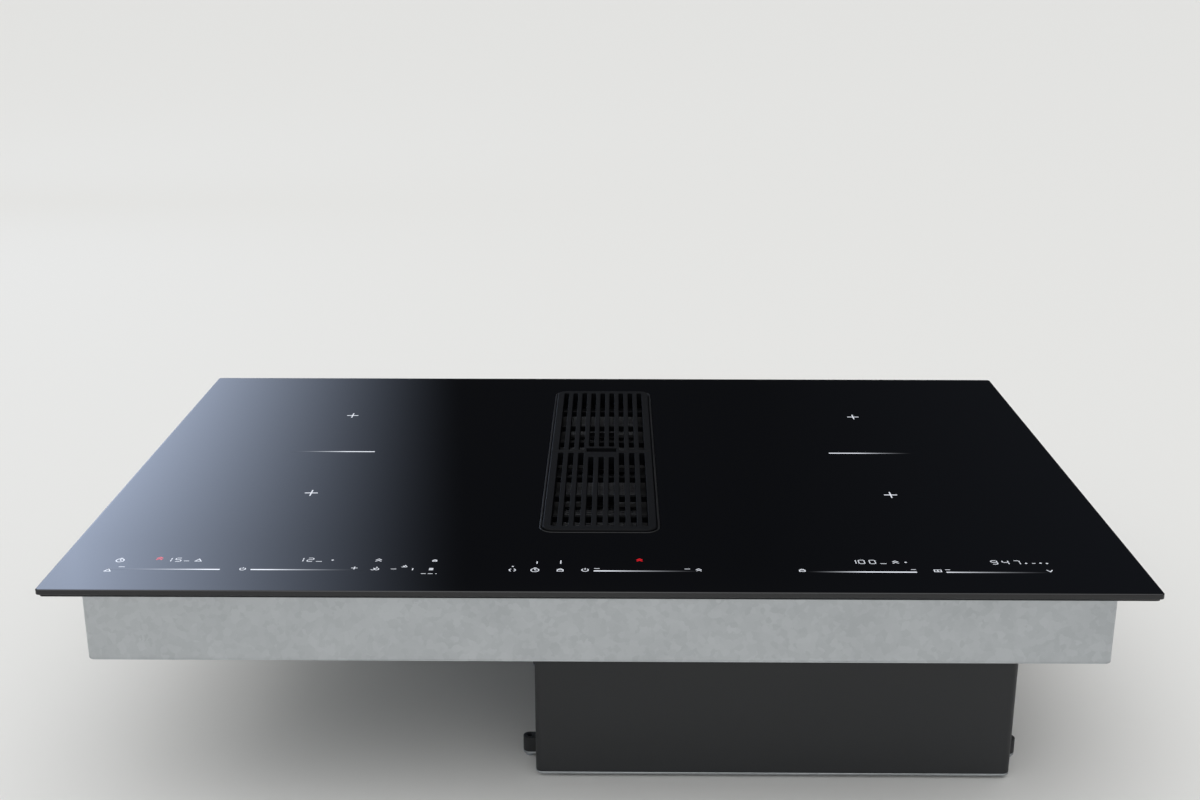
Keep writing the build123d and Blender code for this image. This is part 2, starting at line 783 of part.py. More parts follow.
def make_casing_seal():
    """Adhesive seal between the casing's flange and the glass."""
    seal = plate(case_w, case_d, CASE_CORNER_R, case_top, glass_under)
    return seal - plate(
        case_w - 2 * CASE_FLANGE_W,
        case_d - 2 * CASE_FLANGE_W,
        CASE_CORNER_R,
        case_top,
        glass_under,
    )


# ================================================================ cooking zones
def zone_places():
    """Centres of the four zones."""
    return [(side * zone_x, y) for side in (-1, 1) for y in (zone_front_y, zone_rear_y)]


def make_mica_sheet(x, y):
    """Insulating sheet between the glass and one coil."""
    sheet = plate(COIL_W, coil_d, COIL_CORNER_R, coil_top, glass_under, x, y)
    return sheet - drum(SENSOR_R + PART_FIT, coil_top, glass_under, x, y)


def make_coil(x, y):
    """Flat winding of one zone, drawn as the band that its turns fill."""
    coil = plate(COIL_W, coil_d, COIL_CORNER_R, former_top, coil_top, x, y)
    return coil - drum(COIL_EYE_R, former_top, coil_top, x, y)


def ferrite_blocks(x, y, extra):
    """Radial ferrite bars under one coil; extra widens them into their pockets."""
    bars = []
    for number in range(FERRITE_COUNT):
        turn = 360.0 * (number + 0.5) / FERRITE_COUNT
        bar = block(
            FERRITE_IN_R - extra,
            FERRITE_IN_R + ferrite_l + extra,
            -FERRITE_W / 2 - extra,
            FERRITE_W / 2 + extra,
            carrier_top,
            former_top - FORMER_SKIN,
        )
        bars.append(Pos(x, y, 0) * Rot(Z=turn) * bar)
    return bars


def make_former(x, y):
    """Plastic former under one coil, with radial pockets for the ferrites."""
    former = plate(former_w, former_d, COIL_CORNER_R, carrier_top, former_top, x, y)
    former -= drum(SENSOR_R + 2 * PART_FIT, carrier_top, former_top, x, y)
    for pocket in ferrite_blocks(x, y, PART_FIT):
        former -= pocket
    return former


def make_sensor(x, y):
    """Temperature sensor pressed against the glass in a coil's eye."""
    return drum(SENSOR_R, carrier_top, glass_under, x, y)


def post_places():
    """Corner posts under the right carrier."""
    post_out_x = 2 * zone_x - post_in_x
    return [(x, y) for x in (post_in_x, post_out_x) for y in (post_front_y, post_rear_y)]


def make_coil_carrier():
    """Aluminium plate under the two coils of the right side, lips turned down."""
    carrier = plate(
        carrier_w,
        carrier_d,
        CASE_CORNER_R,
        carrier_top - CARRIER_LIP,
        carrier_top,
        zone_x,
        carrier_y,
    )
    return carrier - plate(
        carrier_w - 2 * CARRIER_T,
        carrier_d - 2 * CARRIER_T,
        CASE_CORNER_R - CARRIER_T,
        carrier_top - CARRIER_LIP,
        carrier_under,
        zone_x,
        carrier_y,
    )


def make_carrier_post(x, y):
    """Plastic post on the casing floor with a pin for its buffer."""
    shoulder = carrier_under - BUFFER_H
    pin_top = carrier_under - BUFFER_H / 4
    return drum(POST_R, case_floor, shoulder, x, y) + drum(POST_PIN_R, shoulder, pin_top, x, y)


def make_carrier_buffer(x, y):
    """Rubber buffer that presses the carrier and its coils up to the glass."""
    return sleeve(POST_R, POST_PIN_R + BUFFER_FIT, carrier_under - BUFFER_H, carrier_under, x, y)


# ================================================================ power electronics
def make_power_board():
    """Circuit board of the right side."""
    return block(board_x0, board_x1, board_y0, board_y1, board_under, board_top)


def standoff_places():
    """Where the right board stands on the casing floor."""
    inset = 2 * STANDOFF_R
    xs = (board_x0 + inset, board_x1 - inset)
    ys = (board_y0 + inset, board_y1 - inset)
    return [(x, y) for x in xs for y in ys]


def make_heat_sink():
    """Extruded heat sink in the fan's air stream, fins along Y."""
    x0 = board_x0 + SINK_IN
    y1 = board_y1 - SINK_REAR
    base = block(x0, x0 + SINK_W, board_y0, y1, board_top, board_top + SINK_BASE)
    step = (SINK_W - SINK_FIN_T) / (SINK_FINS - 1)
    for number in range(SINK_FINS):
        x = x0 + number * step
        base += block(
            x,
            x + SINK_FIN_T,
            board_y0,
            y1,
            board_top + SINK_BASE,
            board_top + SINK_H,
        )
    return base


def capacitor_places():
    """A row of capacitors on the right board."""
    first = carrier_y - CAP_PITCH * (CAP_COUNT - 1) / 2
    return [(board_x0 + CAP_IN, first + number * CAP_PITCH) for number in range(CAP_COUNT)]


def make_choke(x, y):
    """Ring choke lying on the board, drawn as the ring that its winding fills."""
    reach = CHOKE_MID_R + CHOKE_TUBE_R
    ring = Pos(x, y, board_top + CHOKE_TUBE_R - CHOKE_FLAT) * Torus(CHOKE_MID_R, CHOKE_TUBE_R)
    return ring & drum(reach, board_top, board_top + 2 * CHOKE_TUBE_R, x, y)


# ================================================================ cooling fans
fan_under = case_floor
fan_top = fan_under + FAN_H
fan_wheel_under = fan_under + FAN_SKIN + FAN_WHEEL_CLEAR / 2
fan_wheel_top = fan_top - FAN_SKIN - FAN_WHEEL_CLEAR / 2


def make_fan_housing():
    """Radial fan housing of the right side: inlet in the floor, outlet towards the heat sink."""
    half = FAN_SIDE / 2
    chamber_r = FAN_WHEEL_R + FAN_WHEEL_CLEAR
    body = plate(FAN_SIDE, FAN_SIDE, CASE_CORNER_R, fan_under, fan_top, fan_x, fan_y)
    body -= drum(chamber_r, fan_under + FAN_SKIN, fan_top - FAN_SKIN, fan_x, fan_y)
    body -= block(
        fan_x - chamber_r + FAN_SKIN,
        fan_x + chamber_r,
        fan_y,
        fan_y + half,
        fan_under + FAN_SKIN,
        fan_top - FAN_SKIN,
    )
    body -= drum(FAN_INLET_R, fan_under, fan_under + FAN_SKIN, fan_x, fan_y)
    return body + drum(FAN_AXLE_R, fan_wheel_under, fan_top - FAN_SKIN, fan_x, fan_y)


def make_fan_rotor():
    """Radial wheel of the right fan: hub, top disc and straight blades."""
    wheel = drum(FAN_HUB_R, fan_wheel_under, fan_wheel_top, fan_x, fan_y)
    wheel += drum(FAN_WHEEL_R, fan_wheel_top - FAN_BLADE_T, fan_wheel_top, fan_x, fan_y)
    for number in range(FAN_BLADES):
        blade = block(
            FAN_HUB_R - FAN_BLADE_T,
            FAN_WHEEL_R - FAN_BLADE_T / 4,
            -FAN_BLADE_T / 2,
            FAN_BLADE_T / 2,
            fan_wheel_under,
            fan_wheel_top - FAN_BLADE_T / 2,
        )
        wheel += Pos(fan_x, fan_y, 0) * Rot(Z=360.0 * number / FAN_BLADES) * blade
    return wheel - drum(
        FAN_AXLE_R + SHAFT_CLEAR,
        fan_wheel_under,
        fan_wheel_top,
        fan_x,
        fan_y,
    )


# ================================================================ touch controls
touch_x0 = TOUCH_LEFT_IN - case_w / 2
touch_x1 = case_w / 2 - TOUCH_RIGHT_IN
touch_y = TOUCH_FRONT - GLASS_D / 2
slider_y = SLIDER_FRONT - GLASS_D / 2
digit_y = DIGIT_FRONT - GLASS_D / 2
touch_board_top = glass_under - LIGHT_T
touch_board_under = touch_board_top - BOARD_T
holder_floor = touch_board_under - TOUCH_HOLDER_H


def make_touch_board():
    """Sensor board pressed up under the printed marks of the glass."""
    half = TOUCH_BOARD_D / 2
    return block(
        touch_x0, touch_x1, touch_y - half, touch_y + half, touch_board_under, touch_board_top
    )


def make_touch_holder():
    """Plastic tray that holds the sensor board, on feet to the casing floor."""
    rim = (TOUCH_HOLDER_D - TOUCH_BOARD_D) / 2
    half = TOUCH_HOLDER_D / 2
    holder = block(
        touch_x0 - rim, touch_x1 + rim, touch_y - half, touch_y + half, holder_floor, touch_board_top
    )
    holder -= block(
        touch_x0,
        touch_x1,
        touch_y - half + rim,
        touch_y + half - rim,
        touch_board_under,
        touch_board_top,
    )
    holder -= block(
        touch_x0,
        touch_x1,
        touch_y - half + rim,
        touch_y + half - rim,
        holder_floor,
        touch_board_under - rim,
    )
    for x in (touch_x0 + 2 * POST_R, 0.0, touch_x1 - 2 * POST_R):
        holder += drum(POST_R, case_floor, touch_board_under - rim / 2, x, touch_y)
    return holder


def touch_places(left, middle, right):
    """Places along the touch board, counted from its left end, the glass's middle and its right end."""
    return [touch_x0 + x for x in left] + [middle] + [touch_x1 - x for x in right]


def make_touch_lights():
    """Light guides under the slider marks and the number fields."""
    lights = [
        block(
            x - SLIDER_L / 2,
            x + SLIDER_L / 2,
            slider_y - SLIDER_W / 2,
            slider_y + SLIDER_W / 2,
            touch_board_top,
            glass_under,
        )
        for x in touch_places(SLIDER_LEFT, SLIDER_MIDDLE, SLIDER_RIGHT)
    ]
    lights += [
        block(
            x - DIGIT_W / 2,
            x + DIGIT_W / 2,
            digit_y - DIGIT_D / 2,
            digit_y + DIGIT_D / 2,
            touch_board_top,
            glass_under,
        )
        for x in touch_places(DIGIT_LEFT, DIGIT_MIDDLE, DIGIT_RIGHT)
    ]
    return group(lights)


# ================================================================ mains entry
terminal_y1 = case_d / 2 - CASE_T
terminal_y0 = terminal_y1 - TERMINAL_D


def gland_z():
    """Height of the cable entry: the middle of the terminal box."""
    return case_floor + TERMINAL_H / 2


def make_terminal_box():
    """Open-topped terminal box in the casing's rear left corner."""
    x0 = terminal_x - TERMINAL_W / 2
    x1 = terminal_x + TERMINAL_W / 2
    top = case_floor + TERMINAL_H
    body = block(x0, x1, terminal_y0, terminal_y1, case_floor, top)
    body -= block(
        x0 + TERMINAL_WALL,
        x1 - TERMINAL_WALL,
        terminal_y0 + TERMINAL_WALL,
        terminal_y1 - TERMINAL_WALL,
        case_floor + TERMINAL_WALL,
        top,
    )
    return body - Pos(terminal_x, terminal_y1, gland_z()) * Rot(X=90) * Cylinder(
        GLAND_BODY_R + PART_FIT, 3 * TERMINAL_WALL
    )


def make_terminal_cover():
    """Snap-on lid of the terminal box."""
    x0 = terminal_x - TERMINAL_W / 2
    x1 = terminal_x + TERMINAL_W / 2
    top = case_floor + TERMINAL_H
    return block(x0, x1, terminal_y0, terminal_y1, top, top + TERMINAL_COVER_T)


def make_cable_gland():
    """Cable gland through the rear wall: body, outer nut and inner nut, one through bore."""
    y_out = case_d / 2 + GLAND_OUT
    y_in = terminal_y1 - TERMINAL_WALL - GLAND_NUT_T
    body = along_y(GLAND_BODY_R, y_in, y_out)
    nut = Pos(terminal_x, case_d / 2, gland_z()) * Rot(X=-90) * extrude(
        RegularPolygon(GLAND_NUT_R, 6), GLAND_NUT_T
    )
    lock = Pos(terminal_x, y_in, gland_z()) * Rot(X=-90) * extrude(
        RegularPolygon((GLAND_BODY_R + GLAND_NUT_R) / 2, 6), GLAND_NUT_T
    )
    return body + nut + lock - along_y(GLAND_BORE_R, y_in, y_out)


def along_y(radius, y0, y1):
    """A cylinder on the cable's axis."""
    return Pos(terminal_x, (y0 + y1) / 2, gland_z()) * Rot(X=90) * Cylinder(radius, y1 - y0)


# ================================================================ blower box and cover
def box_boss_places():
    """Screw bosses on the outside of the blower box: three on each long wall."""
    ys = (box_y0 + BOX_BOSS_IN, (box_y0 + box_y1) / 2, box_y1 - BOX_BOSS_IN)
    return [(x, y) for x in (box_x0 - BOX_BOSS_OUT, box_x1 + BOX_BOSS_OUT) for y in ys]


def boss(x, y, z0, z1):
    """One round boss with a web to the wall of the blower box."""
    wall_x = box_x0 if x < 0 else box_x1
    inner = wall_x + math.copysign(BOX_WALL / 2, -x)
    web = block(min(x, inner), max(x, inner), y - BOX_BOSS_R, y + BOX_BOSS_R, z0, z1)
    return web + drum(BOX_BOSS_R, z0, z1, x, y)


def make_blower_box():
    """Moulded walls round the well and the blower, open above and below."""
    w = box_x1 - box_x0
    d = box_y1 - box_y0
    x = (box_x0 + box_x1) / 2
    y = (box_y0 + box_y1) / 2
    box = plate(w, d, BOX_CORNER_R, box_under, box_top, x, y)
    box -= plate(
        w - 2 * BOX_WALL, d - 2 * BOX_WALL, BOX_CORNER_R - BOX_WALL, box_under, box_top, x, y
    )
    box -= block(
        spigot_x - SPIGOT_W / 2 + SPIGOT_WALL,
        spigot_x + SPIGOT_W / 2 - SPIGOT_WALL,
        box_y1 - 2 * BOX_WALL,
        box_y1 + BOX_WALL,
        scroll_floor + SCROLL_WALL,
        scroll_top - SCROLL_WALL,
    )
    for boss_x, boss_y in box_boss_places():
        for z0, z1 in ((box_under, box_under + BOX_BOSS_H), (box_top - BOX_BOSS_H, box_top)):
            box += boss(boss_x, boss_y, z0, z1)
            box -= drum(SCREW_R + SCREW_FIT, z0, z1, boss_x, boss_y)
    for screw_x, screw_y, screw_z in spigot_screws():
        box -= Pos(screw_x, box_y1 - BOX_WALL / 2, screw_z) * Rot(X=90) * Cylinder(
            SCREW_R + SCREW_FIT, 2 * BOX_WALL
        )
    return box


def make_blower_cover():
    """Removable bottom sheet: flat rim with ears under the bosses, middle pressed down."""
    w = box_x1 - box_x0
    d = box_y1 - box_y0
    x = (box_x0 + box_x1) / 2
    y = (box_y0 + box_y1) / 2
    rim_under = box_under - COVER_T
    dish_under = rim_under - COVER_DISH
    dish_w = w - 2 * COVER_RIM
    dish_d = d - 2 * COVER_RIM
    cover = plate(w, d, BOX_CORNER_R, rim_under, box_under, x, y)
    cover += plate(dish_w, dish_d, BOX_CORNER_R, dish_under, rim_under, x, y)
    cover -= plate(
        dish_w - 2 * COVER_T,
        dish_d - 2 * COVER_T,
        BOX_CORNER_R - COVER_T,
        dish_under + COVER_T,
        box_under,
        x,
        y,
    )
    for boss_x, boss_y in box_boss_places():
        cover += boss(boss_x, boss_y, rim_under, box_under)
        cover -= drum(SCREW_R + SCREW_FIT, rim_under, box_under, boss_x, boss_y)
    return cover


# ================================================================ scroll
outlet_x0 = spigot_x - SPIGOT_W / 2 + SPIGOT_WALL
outlet_x1 = spigot_x + SPIGOT_W / 2 - SPIGOT_WALL


def scroll_plan(extra):
    """The scroll in plan: a spiral from the tongue to a full turn, then the diffuser.

    extra is how far the plan stands outside the air path."""
    turns = [TONGUE_DEG + (FULL_TURN - TONGUE_DEG) * n / 12 for n in range(13)]
    points = [
        (
            scroll_x + (scroll_radius(turn) + extra) * math.cos(math.radians(turn)),
            scroll_y + (scroll_radius(turn) + extra) * math.sin(math.radians(turn)),
        )
        for turn in turns
    ]
    middle = (scroll_x, scroll_y)
    spiral = make_face(Spline(*points) + Polyline(points[-1], middle, points[0]))
    tongue_x = scroll_x + scroll_r0 * math.cos(math.radians(TONGUE_DEG)) - extra
    tongue_y = scroll_y + scroll_r0 * math.sin(math.radians(TONGUE_DEG))
    outer_x = scroll_x1 + extra
    diffuser_y = scroll_y + DIFFUSER_RUN
    rear_y = box_y1 - BOX_WALL
    diffuser = make_face(
        Polyline(
            middle,
            (outer_x, scroll_y),
            (outer_x, diffuser_y),
            (outlet_x1 + extra, rear_y),
            (outlet_x0 - extra, rear_y),
            (tongue_x, diffuser_y),
            (tongue_x, tongue_y),
            middle,
        )
    )
    return spiral + diffuser


def make_scroll_lower():
    """Floor and side wall of the scroll, on four moulded feet."""
    lid_under = scroll_top - SCROLL_WALL
    air_floor = scroll_floor + SCROLL_WALL
    body = Pos(0, 0, scroll_floor) * extrude(scroll_plan(SCROLL_WALL), lid_under - scroll_floor)
    body -= Pos(0, 0, air_floor) * extrude(scroll_plan(0.0), lid_under - air_floor)
    reach = (scroll_r0 - DAMPER_R) / math.sqrt(2.0)
    for i in (-1, 1):
        for j in (-1, 1):
            x = scroll_x + i * reach
            y = scroll_y + j * reach
            body += drum(DAMPER_R, dish_floor, scroll_floor, x, y)
    return body


def make_scroll_upper():
    """Lid of the scroll with the bell mouth over the wheel."""
    lid_under = scroll_top - SCROLL_WALL
    lip_under = lid_under - INLET_LIP
    lid = Pos(0, 0, lid_under) * extrude(scroll_plan(SCROLL_WALL), SCROLL_WALL)
    lid += drum(INLET_R + 2 * SCROLL_WALL, lip_under, scroll_top, scroll_x, scroll_y)
    mouth = drum(INLET_R, lip_under, scroll_top, scroll_x, scroll_y)
    flare = Pos(scroll_x, scroll_y, scroll_top - SCROLL_WALL / 2) * Cone(
        INLET_R, INLET_R + SCROLL_WALL, SCROLL_WALL
    )
    return lid - mouth - flare


# ================================================================ wheel and motor
motor_top = wheel_under + MOTOR_H
base_under = scroll_floor + SCROLL_WALL + DAMPER_T
base_top = base_under + BASE_T
tube_r = BEARING_OR + TUBE_WALL
tube_top = motor_top - 3 * MOTOR_SKIN


def make_impeller():
    """Forward-curved wheel: floor disc, hub over the motor, blades and shroud ring."""
    hub_r = MOTOR_R + WHEEL_SKIN
    wheel = sleeve(WHEEL_R, MOTOR_R, wheel_under, wheel_under + WHEEL_SKIN)
    wheel += sleeve(hub_r, MOTOR_R, wheel_under, motor_top + WHEEL_SKIN)
    wheel += sleeve(hub_r, SHAFT_R + TUBE_WALL, motor_top, motor_top + WHEEL_SKIN)
    wheel += sleeve(WHEEL_R, WHEEL_EYE_R, wheel_top - WHEEL_SKIN, wheel_top)
    chord = WHEEL_R - WHEEL_EYE_R - WHEEL_SKIN
    middle = (WHEEL_R + WHEEL_EYE_R) / 2
    curve = ThreePointArc((middle - chord / 2, 0), (middle, chord / 6), (middle + chord / 2, 0))
    blade = extrude(trace(curve, WHEEL_BLADE_T), WHEEL_H - WHEEL_SKIN)
    blades = [
        Rot(Z=360.0 * number / WHEEL_BLADES) * Pos(0, 0, wheel_under + WHEEL_SKIN / 2) * blade
        for number in range(WHEEL_BLADES)
    ]
    wheel = wheel.fuse(*[solid for item in blades for solid in item.solids()])
    return Pos(scroll_x, scroll_y, 0) * wheel


def make_motor_rotor():
    """Outer rotor cup with its shaft; the wheel's hub sits on it."""
    cup_r = MOTOR_R - PART_FIT
    cup = drum(cup_r, base_top + DAMPER_T, motor_top)
    cup -= drum(cup_r - MOTOR_SKIN, base_top + DAMPER_T, motor_top - MOTOR_SKIN)
    shaft = drum(SHAFT_R, base_top, motor_top - MOTOR_SKIN / 2)
    return Pos(scroll_x, scroll_y, 0) * (cup + shaft)


def make_motor_stator():
    """Wound stator round the bearing tube."""
    low = (base_top + tube_top - STATOR_H) / 2
    return sleeve(STATOR_R, tube_r + SEAT_FIT, low, low + STATOR_H, scroll_x, scroll_y)


def make_motor_base():
    """Cast base with the bearing tube, standing on rubber dampers."""
    base = drum(BASE_R, base_under, base_top) + drum(tube_r, base_top, tube_top)
    base -= drum(BEARING_OR + SEAT_FIT, base_top, tube_top)
    base -= drum(SHAFT_R + TUBE_WALL, base_under + BASE_T / 2, base_top)
    return Pos(scroll_x, scroll_y, 0) * base


def make_motor_bearings():
    """Two ball bearings, drawn as rings, one at each end of the tube."""
    bore = SHAFT_R + SHAFT_CLEAR
    lows = (base_top, tube_top - BEARING_T)
    return group(
        sleeve(BEARING_OR, bore, low, low + BEARING_T, scroll_x, scroll_y) for low in lows
    )


def make_motor_dampers():
    """Three rubber dampers between the scroll's floor and the motor base."""
    spots = [
        (
            scroll_x + DAMPER_RING_R * math.cos(math.radians(turn)),
            scroll_y + DAMPER_RING_R * math.sin(math.radians(turn)),
        )
        for turn in (30.0, 150.0, 270.0)
    ]
    return group(
        drum(DAMPER_R, scroll_floor + SCROLL_WALL, base_under, x, y) for x, y in spots
    )


# ================================================================ outlet
def duct(width, height, radius, y0, y1):
    """A rounded rectangular bar along Y on the outlet's axis."""
    bar = extrude(RectangleRounded(width, height, radius), y1 - y0)
    return Pos(spigot_x, y0, spigot_z) * Rot(X=-90) * bar


def spigot_screws():
    """Four screws in the side margins of the outlet flange."""
    x_reach = SPIGOT_W / 2 + SPIGOT_FLANGE_SIDE / 2
    z_reach = SPIGOT_H / 4
    return [
        (spigot_x + i * x_reach, spigot_y0 + SPIGOT_FLANGE_T, spigot_z + j * z_reach)
        for i in (-1, 1)
        for j in (-1, 1)
    ]


def make_outlet_spigot():
    """Flat duct spigot with its screw flange, the flap's stop and the pin's bores."""
    bore_w = SPIGOT_W - 2 * SPIGOT_WALL
    bore_h = SPIGOT_H - 2 * SPIGOT_WALL
    bore_r = SPIGOT_CORNER_R - SPIGOT_WALL
    flange_w = SPIGOT_W + 2 * SPIGOT_FLANGE_SIDE
    body = duct(SPIGOT_W, SPIGOT_H, SPIGOT_CORNER_R, spigot_y0, spigot_y1)
    body += duct(flange_w, SPIGOT_H, SPIGOT_CORNER_R, spigot_y0, spigot_y0 + SPIGOT_FLANGE_T)
    body -= duct(bore_w, bore_h, bore_r, spigot_y0, spigot_y1)
    floor = spigot_z - bore_h / 2
    stop_y1 = pin_y - FLAP_T / 2 - FLAP_GAP / 3
    body += block(
        spigot_x - bore_w / 4,
        spigot_x + bore_w / 4,
        stop_y1 - STOP_H,
        stop_y1,
        floor - SPIGOT_WALL / 2,
        floor + STOP_H,
    )
    body -= Pos(spigot_x, pin_y, pin_z) * Rot(Y=90) * Cylinder(
        PIN_R + PIN_CLEAR, SPIGOT_W + 2 * SPIGOT_WALL
    )
    for x, y, z in spigot_screws():
        body -= Pos(x, y - SPIGOT_FLANGE_T / 2, z) * Rot(X=90) * Cylinder(
            SCREW_R + SCREW_FIT, 2 * SPIGOT_FLANGE_T
        )
    return body


def make_outlet_gasket():
    """Foam gasket between the blower box and the outlet flange."""
    bore_w = SPIGOT_W - 2 * SPIGOT_WALL
    bore_h = SPIGOT_H - 2 * SPIGOT_WALL
    flange_w = SPIGOT_W + 2 * SPIGOT_FLANGE_SIDE
    sheet = duct(flange_w, SPIGOT_H, SPIGOT_CORNER_R, box_y1, spigot_y0)
    sheet -= duct(bore_w, bore_h, SPIGOT_CORNER_R - SPIGOT_WALL, box_y1, spigot_y0)
    for x, y, z in spigot_screws():
        sheet -= Pos(x, (box_y1 + spigot_y0) / 2, z) * Rot(X=90) * Cylinder(
            SCREW_R + SCREW_FIT, 2 * GASKET_T
        )
    return sheet


def make_backdraft_flap():
    """Flap that hangs from its pin and shuts the duct when the blower is off."""
    bore_w = SPIGOT_W - 2 * SPIGOT_WALL
    bore_h = SPIGOT_H - 2 * SPIGOT_WALL
    half_w = bore_w / 2 - FLAP_GAP
    low = spigot_z - bore_h / 2 + FLAP_GAP
    leaf = block(
        spigot_x - half_w,
        spigot_x + half_w,
        pin_y - FLAP_T / 2,
        pin_y + FLAP_T / 2,
        low,
        pin_z,
    )
    leaf = chamfer(leaf.edges().filter_by(Axis.Y).group_by(Axis.Z)[0], SPIGOT_CORNER_R)
    knuckle = Pos(spigot_x, pin_y, pin_z) * Rot(Y=90) * Cylinder(PIN_R + FLAP_T, 2 * half_w)
    hole = Pos(spigot_x, pin_y, pin_z) * Rot(Y=90) * Cylinder(PIN_R, 2 * half_w)
    return leaf + knuckle - hole


def make_flap_pin():
    """Steel pin through the flap; it turns in the spigot's side walls."""
    return Pos(spigot_x, pin_y, pin_z) * Rot(Y=90) * Cylinder(PIN_R, SPIGOT_W)


# ================================================================ brackets and screws
def bracket_screws():
    """Two screws for each bracket: place on the casing wall and the way the head points."""
    spots = []
    for side in (-1, 1):
        for y in (-bracket_y, bracket_y):
            for offset_y in (-BRACKET_L / 4, BRACKET_L / 4):
                x = side * case_w / 2
                spots.append((x, y + offset_y, BRACKET_TOP - BRACKET_H / 2, side))
    return spots


def make_bracket(side, y):
    """Folded steel angle on the casing wall; its tongue takes the clamp screw."""
    wall = case_w / 2
    tip = GLASS_W / 2 - BRACKET_EDGE
    low = BRACKET_TOP - BRACKET_H
    half = BRACKET_L / 2
    angle = block(wall, wall + BRACKET_T, y - half, y + half, low, BRACKET_TOP)
    angle += block(wall, tip, y - half, y + half, low, low + BRACKET_T)
    angle -= drum(CLAMP_HOLE_R, low, low + BRACKET_T, GLASS_W / 2 - CLAMP_HOLE_IN, y)
    for x, screw_y, z, head in bracket_screws():
        if head == 1:
            angle -= Pos(x, screw_y, z) * Rot(Y=90) * Cylinder(SCREW_R + SCREW_FIT, 3 * BRACKET_T)
    return angle if side > 0 else mirrored(angle)


def screw():
    """Pan-head screw, head seated at z = 0 and shank downwards."""
    head = fillet(
        drum(SCREW_HEAD_R, 0.0, SCREW_HEAD_T).edges().sort_by(Axis.Z)[-1:], SCREW_HEAD_T / 3
    )
    head -= Pos(0, 0, SCREW_HEAD_T) * Box(SCREW_R * 2.6, SCREW_R / 2, SCREW_HEAD_T)
    head -= Pos(0, 0, SCREW_HEAD_T) * Box(SCREW_R / 2, SCREW_R * 2.6, SCREW_HEAD_T)
    return head + drum(SCREW_R, -SCREW_L, 0.0)


def make_fixing_screws():
    """Every screw of the unit: brackets, blower box, cover, outlet flange and well."""
    one = screw()
    placed = []
    for x, y, z, side in bracket_screws():
        placed.append(Pos(x + side * BRACKET_T, y, z) * Rot(Y=90 * side) * one)
    for x, y in box_boss_places():
        placed.append(Pos(x, y, case_floor) * one)
        placed.append(Pos(x, y, box_under - COVER_T) * Rot(X=180) * one)
    for x, y, z in spigot_screws():
        placed.append(Pos(x, y, z) * Rot(X=-90) * one)
    for x, y in lug_places():
        placed.append(Pos(x, y, well_top - WELL_LUG_R) * Rot(X=180) * one)
    return group(placed)


# ================================================================ build
def main():
    """Build every node."""
    save(make_glass_top(), "glass_top")
    save(make_rim_seal(), "rim_seal")
    save(make_inlet_frame(), "inlet_frame")
    save(group((make_inlet_seal(), make_casing_seal())), "silicone_seals")

    save(make_grille_front(), "grille_front")
    save(make_grille_rear(), "grille_rear")
    save(make_grille_pads(front_y0, seam_y), "grille_pads_front")
    save(make_grille_pads(seam_y, rear_y1), "grille_pads_rear")

    save(make_intake_well(), "intake_well")
    for name, y in (("front", filter_front_y), ("rear", filter_rear_y)):
        save(make_filter_frame(y), f"filter_frame_{name}")
        save(make_filter_mesh(y), f"filter_mesh_{name}")
    save(make_drip_tray(), "drip_tray")

    save(make_casing_floor(), "casing_floor")
    save(make_casing_walls(), "casing_walls")

    names = ("coil_front_left", "coil_rear_left", "coil_front_right", "coil_rear_right")
    for name, (x, y) in zip(names, zone_places()):
        save(make_coil(x, y), name)
    save(group(make_mica_sheet(x, y) for x, y in zone_places()), "mica_sheets")
    save(group(make_former(x, y) for x, y in zone_places()), "coil_formers")
    save(group(bar for x, y in zone_places() for bar in ferrite_blocks(x, y, 0.0)), "ferrite_bars")
    save(group(make_sensor(x, y) for x, y in zone_places()), "coil_sensors")
    posts = [(side * x, y) for side in (-1, 1) for x, y in post_places()]
    standoffs = [(side * x, y) for side in (-1, 1) for x, y in standoff_places()]
    plastic_posts = [make_carrier_post(x, y) for x, y in posts]
    plastic_posts += [drum(STANDOFF_R, case_floor, board_under, x, y) for x, y in standoffs]
    save(group(plastic_posts), "plastic_posts")
    save(group(make_carrier_buffer(x, y) for x, y in posts), "carrier_buffers")

    pairs = (
        ("coil_carrier", make_coil_carrier()),
        ("power_board", make_power_board()),
        ("heat_sink", make_heat_sink()),
        ("fan_housing", make_fan_housing()),
        ("fan_rotor", make_fan_rotor()),
    )
    for name, right in pairs:
        save(right, f"{name}_right")
        save(mirrored(right), f"{name}_left")
    caps = [(side * x, y) for side in (-1, 1) for x, y in capacitor_places()]
    save(group(drum(CAP_R, board_top, board_top + CAP_H, x, y) for x, y in caps), "capacitors")
    chokes = [
        (side * (board_x1 - CHOKE_IN), carrier_y + step * CHOKE_PITCH)
        for side in (-1, 1)
        for step in (-1, 0, 1)
    ]
    save(group(make_choke(x, y) for x, y in chokes), "chokes")

    save(make_touch_board(), "touch_board")
    save(make_touch_holder(), "touch_board_holder")
    save(make_touch_lights(), "touch_lights")
    save(make_terminal_box(), "terminal_box")
    save(make_terminal_cover(), "terminal_cover")
    save(make_cable_gland(), "cable_gland")

    save(make_blower_box(), "blower_box")
    save(make_blower_cover(), "blower_cover")
    save(make_scroll_lower(), "scroll_lower")
    save(make_scroll_upper(), "scroll_upper")
    save(make_impeller(), "impeller")
    save(make_motor_rotor(), "motor_rotor")
    save(make_motor_stator(), "motor_stator")
    save(make_motor_base(), "motor_base")
    save(make_motor_bearings(), "motor_bearings")
    save(make_motor_dampers(), "motor_dampers")

    save(make_outlet_spigot(), "outlet_spigot")
    save(make_outlet_gasket(), "outlet_gasket")
    save(make_backdraft_flap(), "backdraft_flap")
    save(make_flap_pin(), "flap_pin")

    brackets = [make_bracket(side, y) for side in (-1, 1) for y in (-bracket_y, bracket_y)]
    save(group(brackets), "clamp_brackets")
    save(make_fixing_screws(), "fixing_screws")


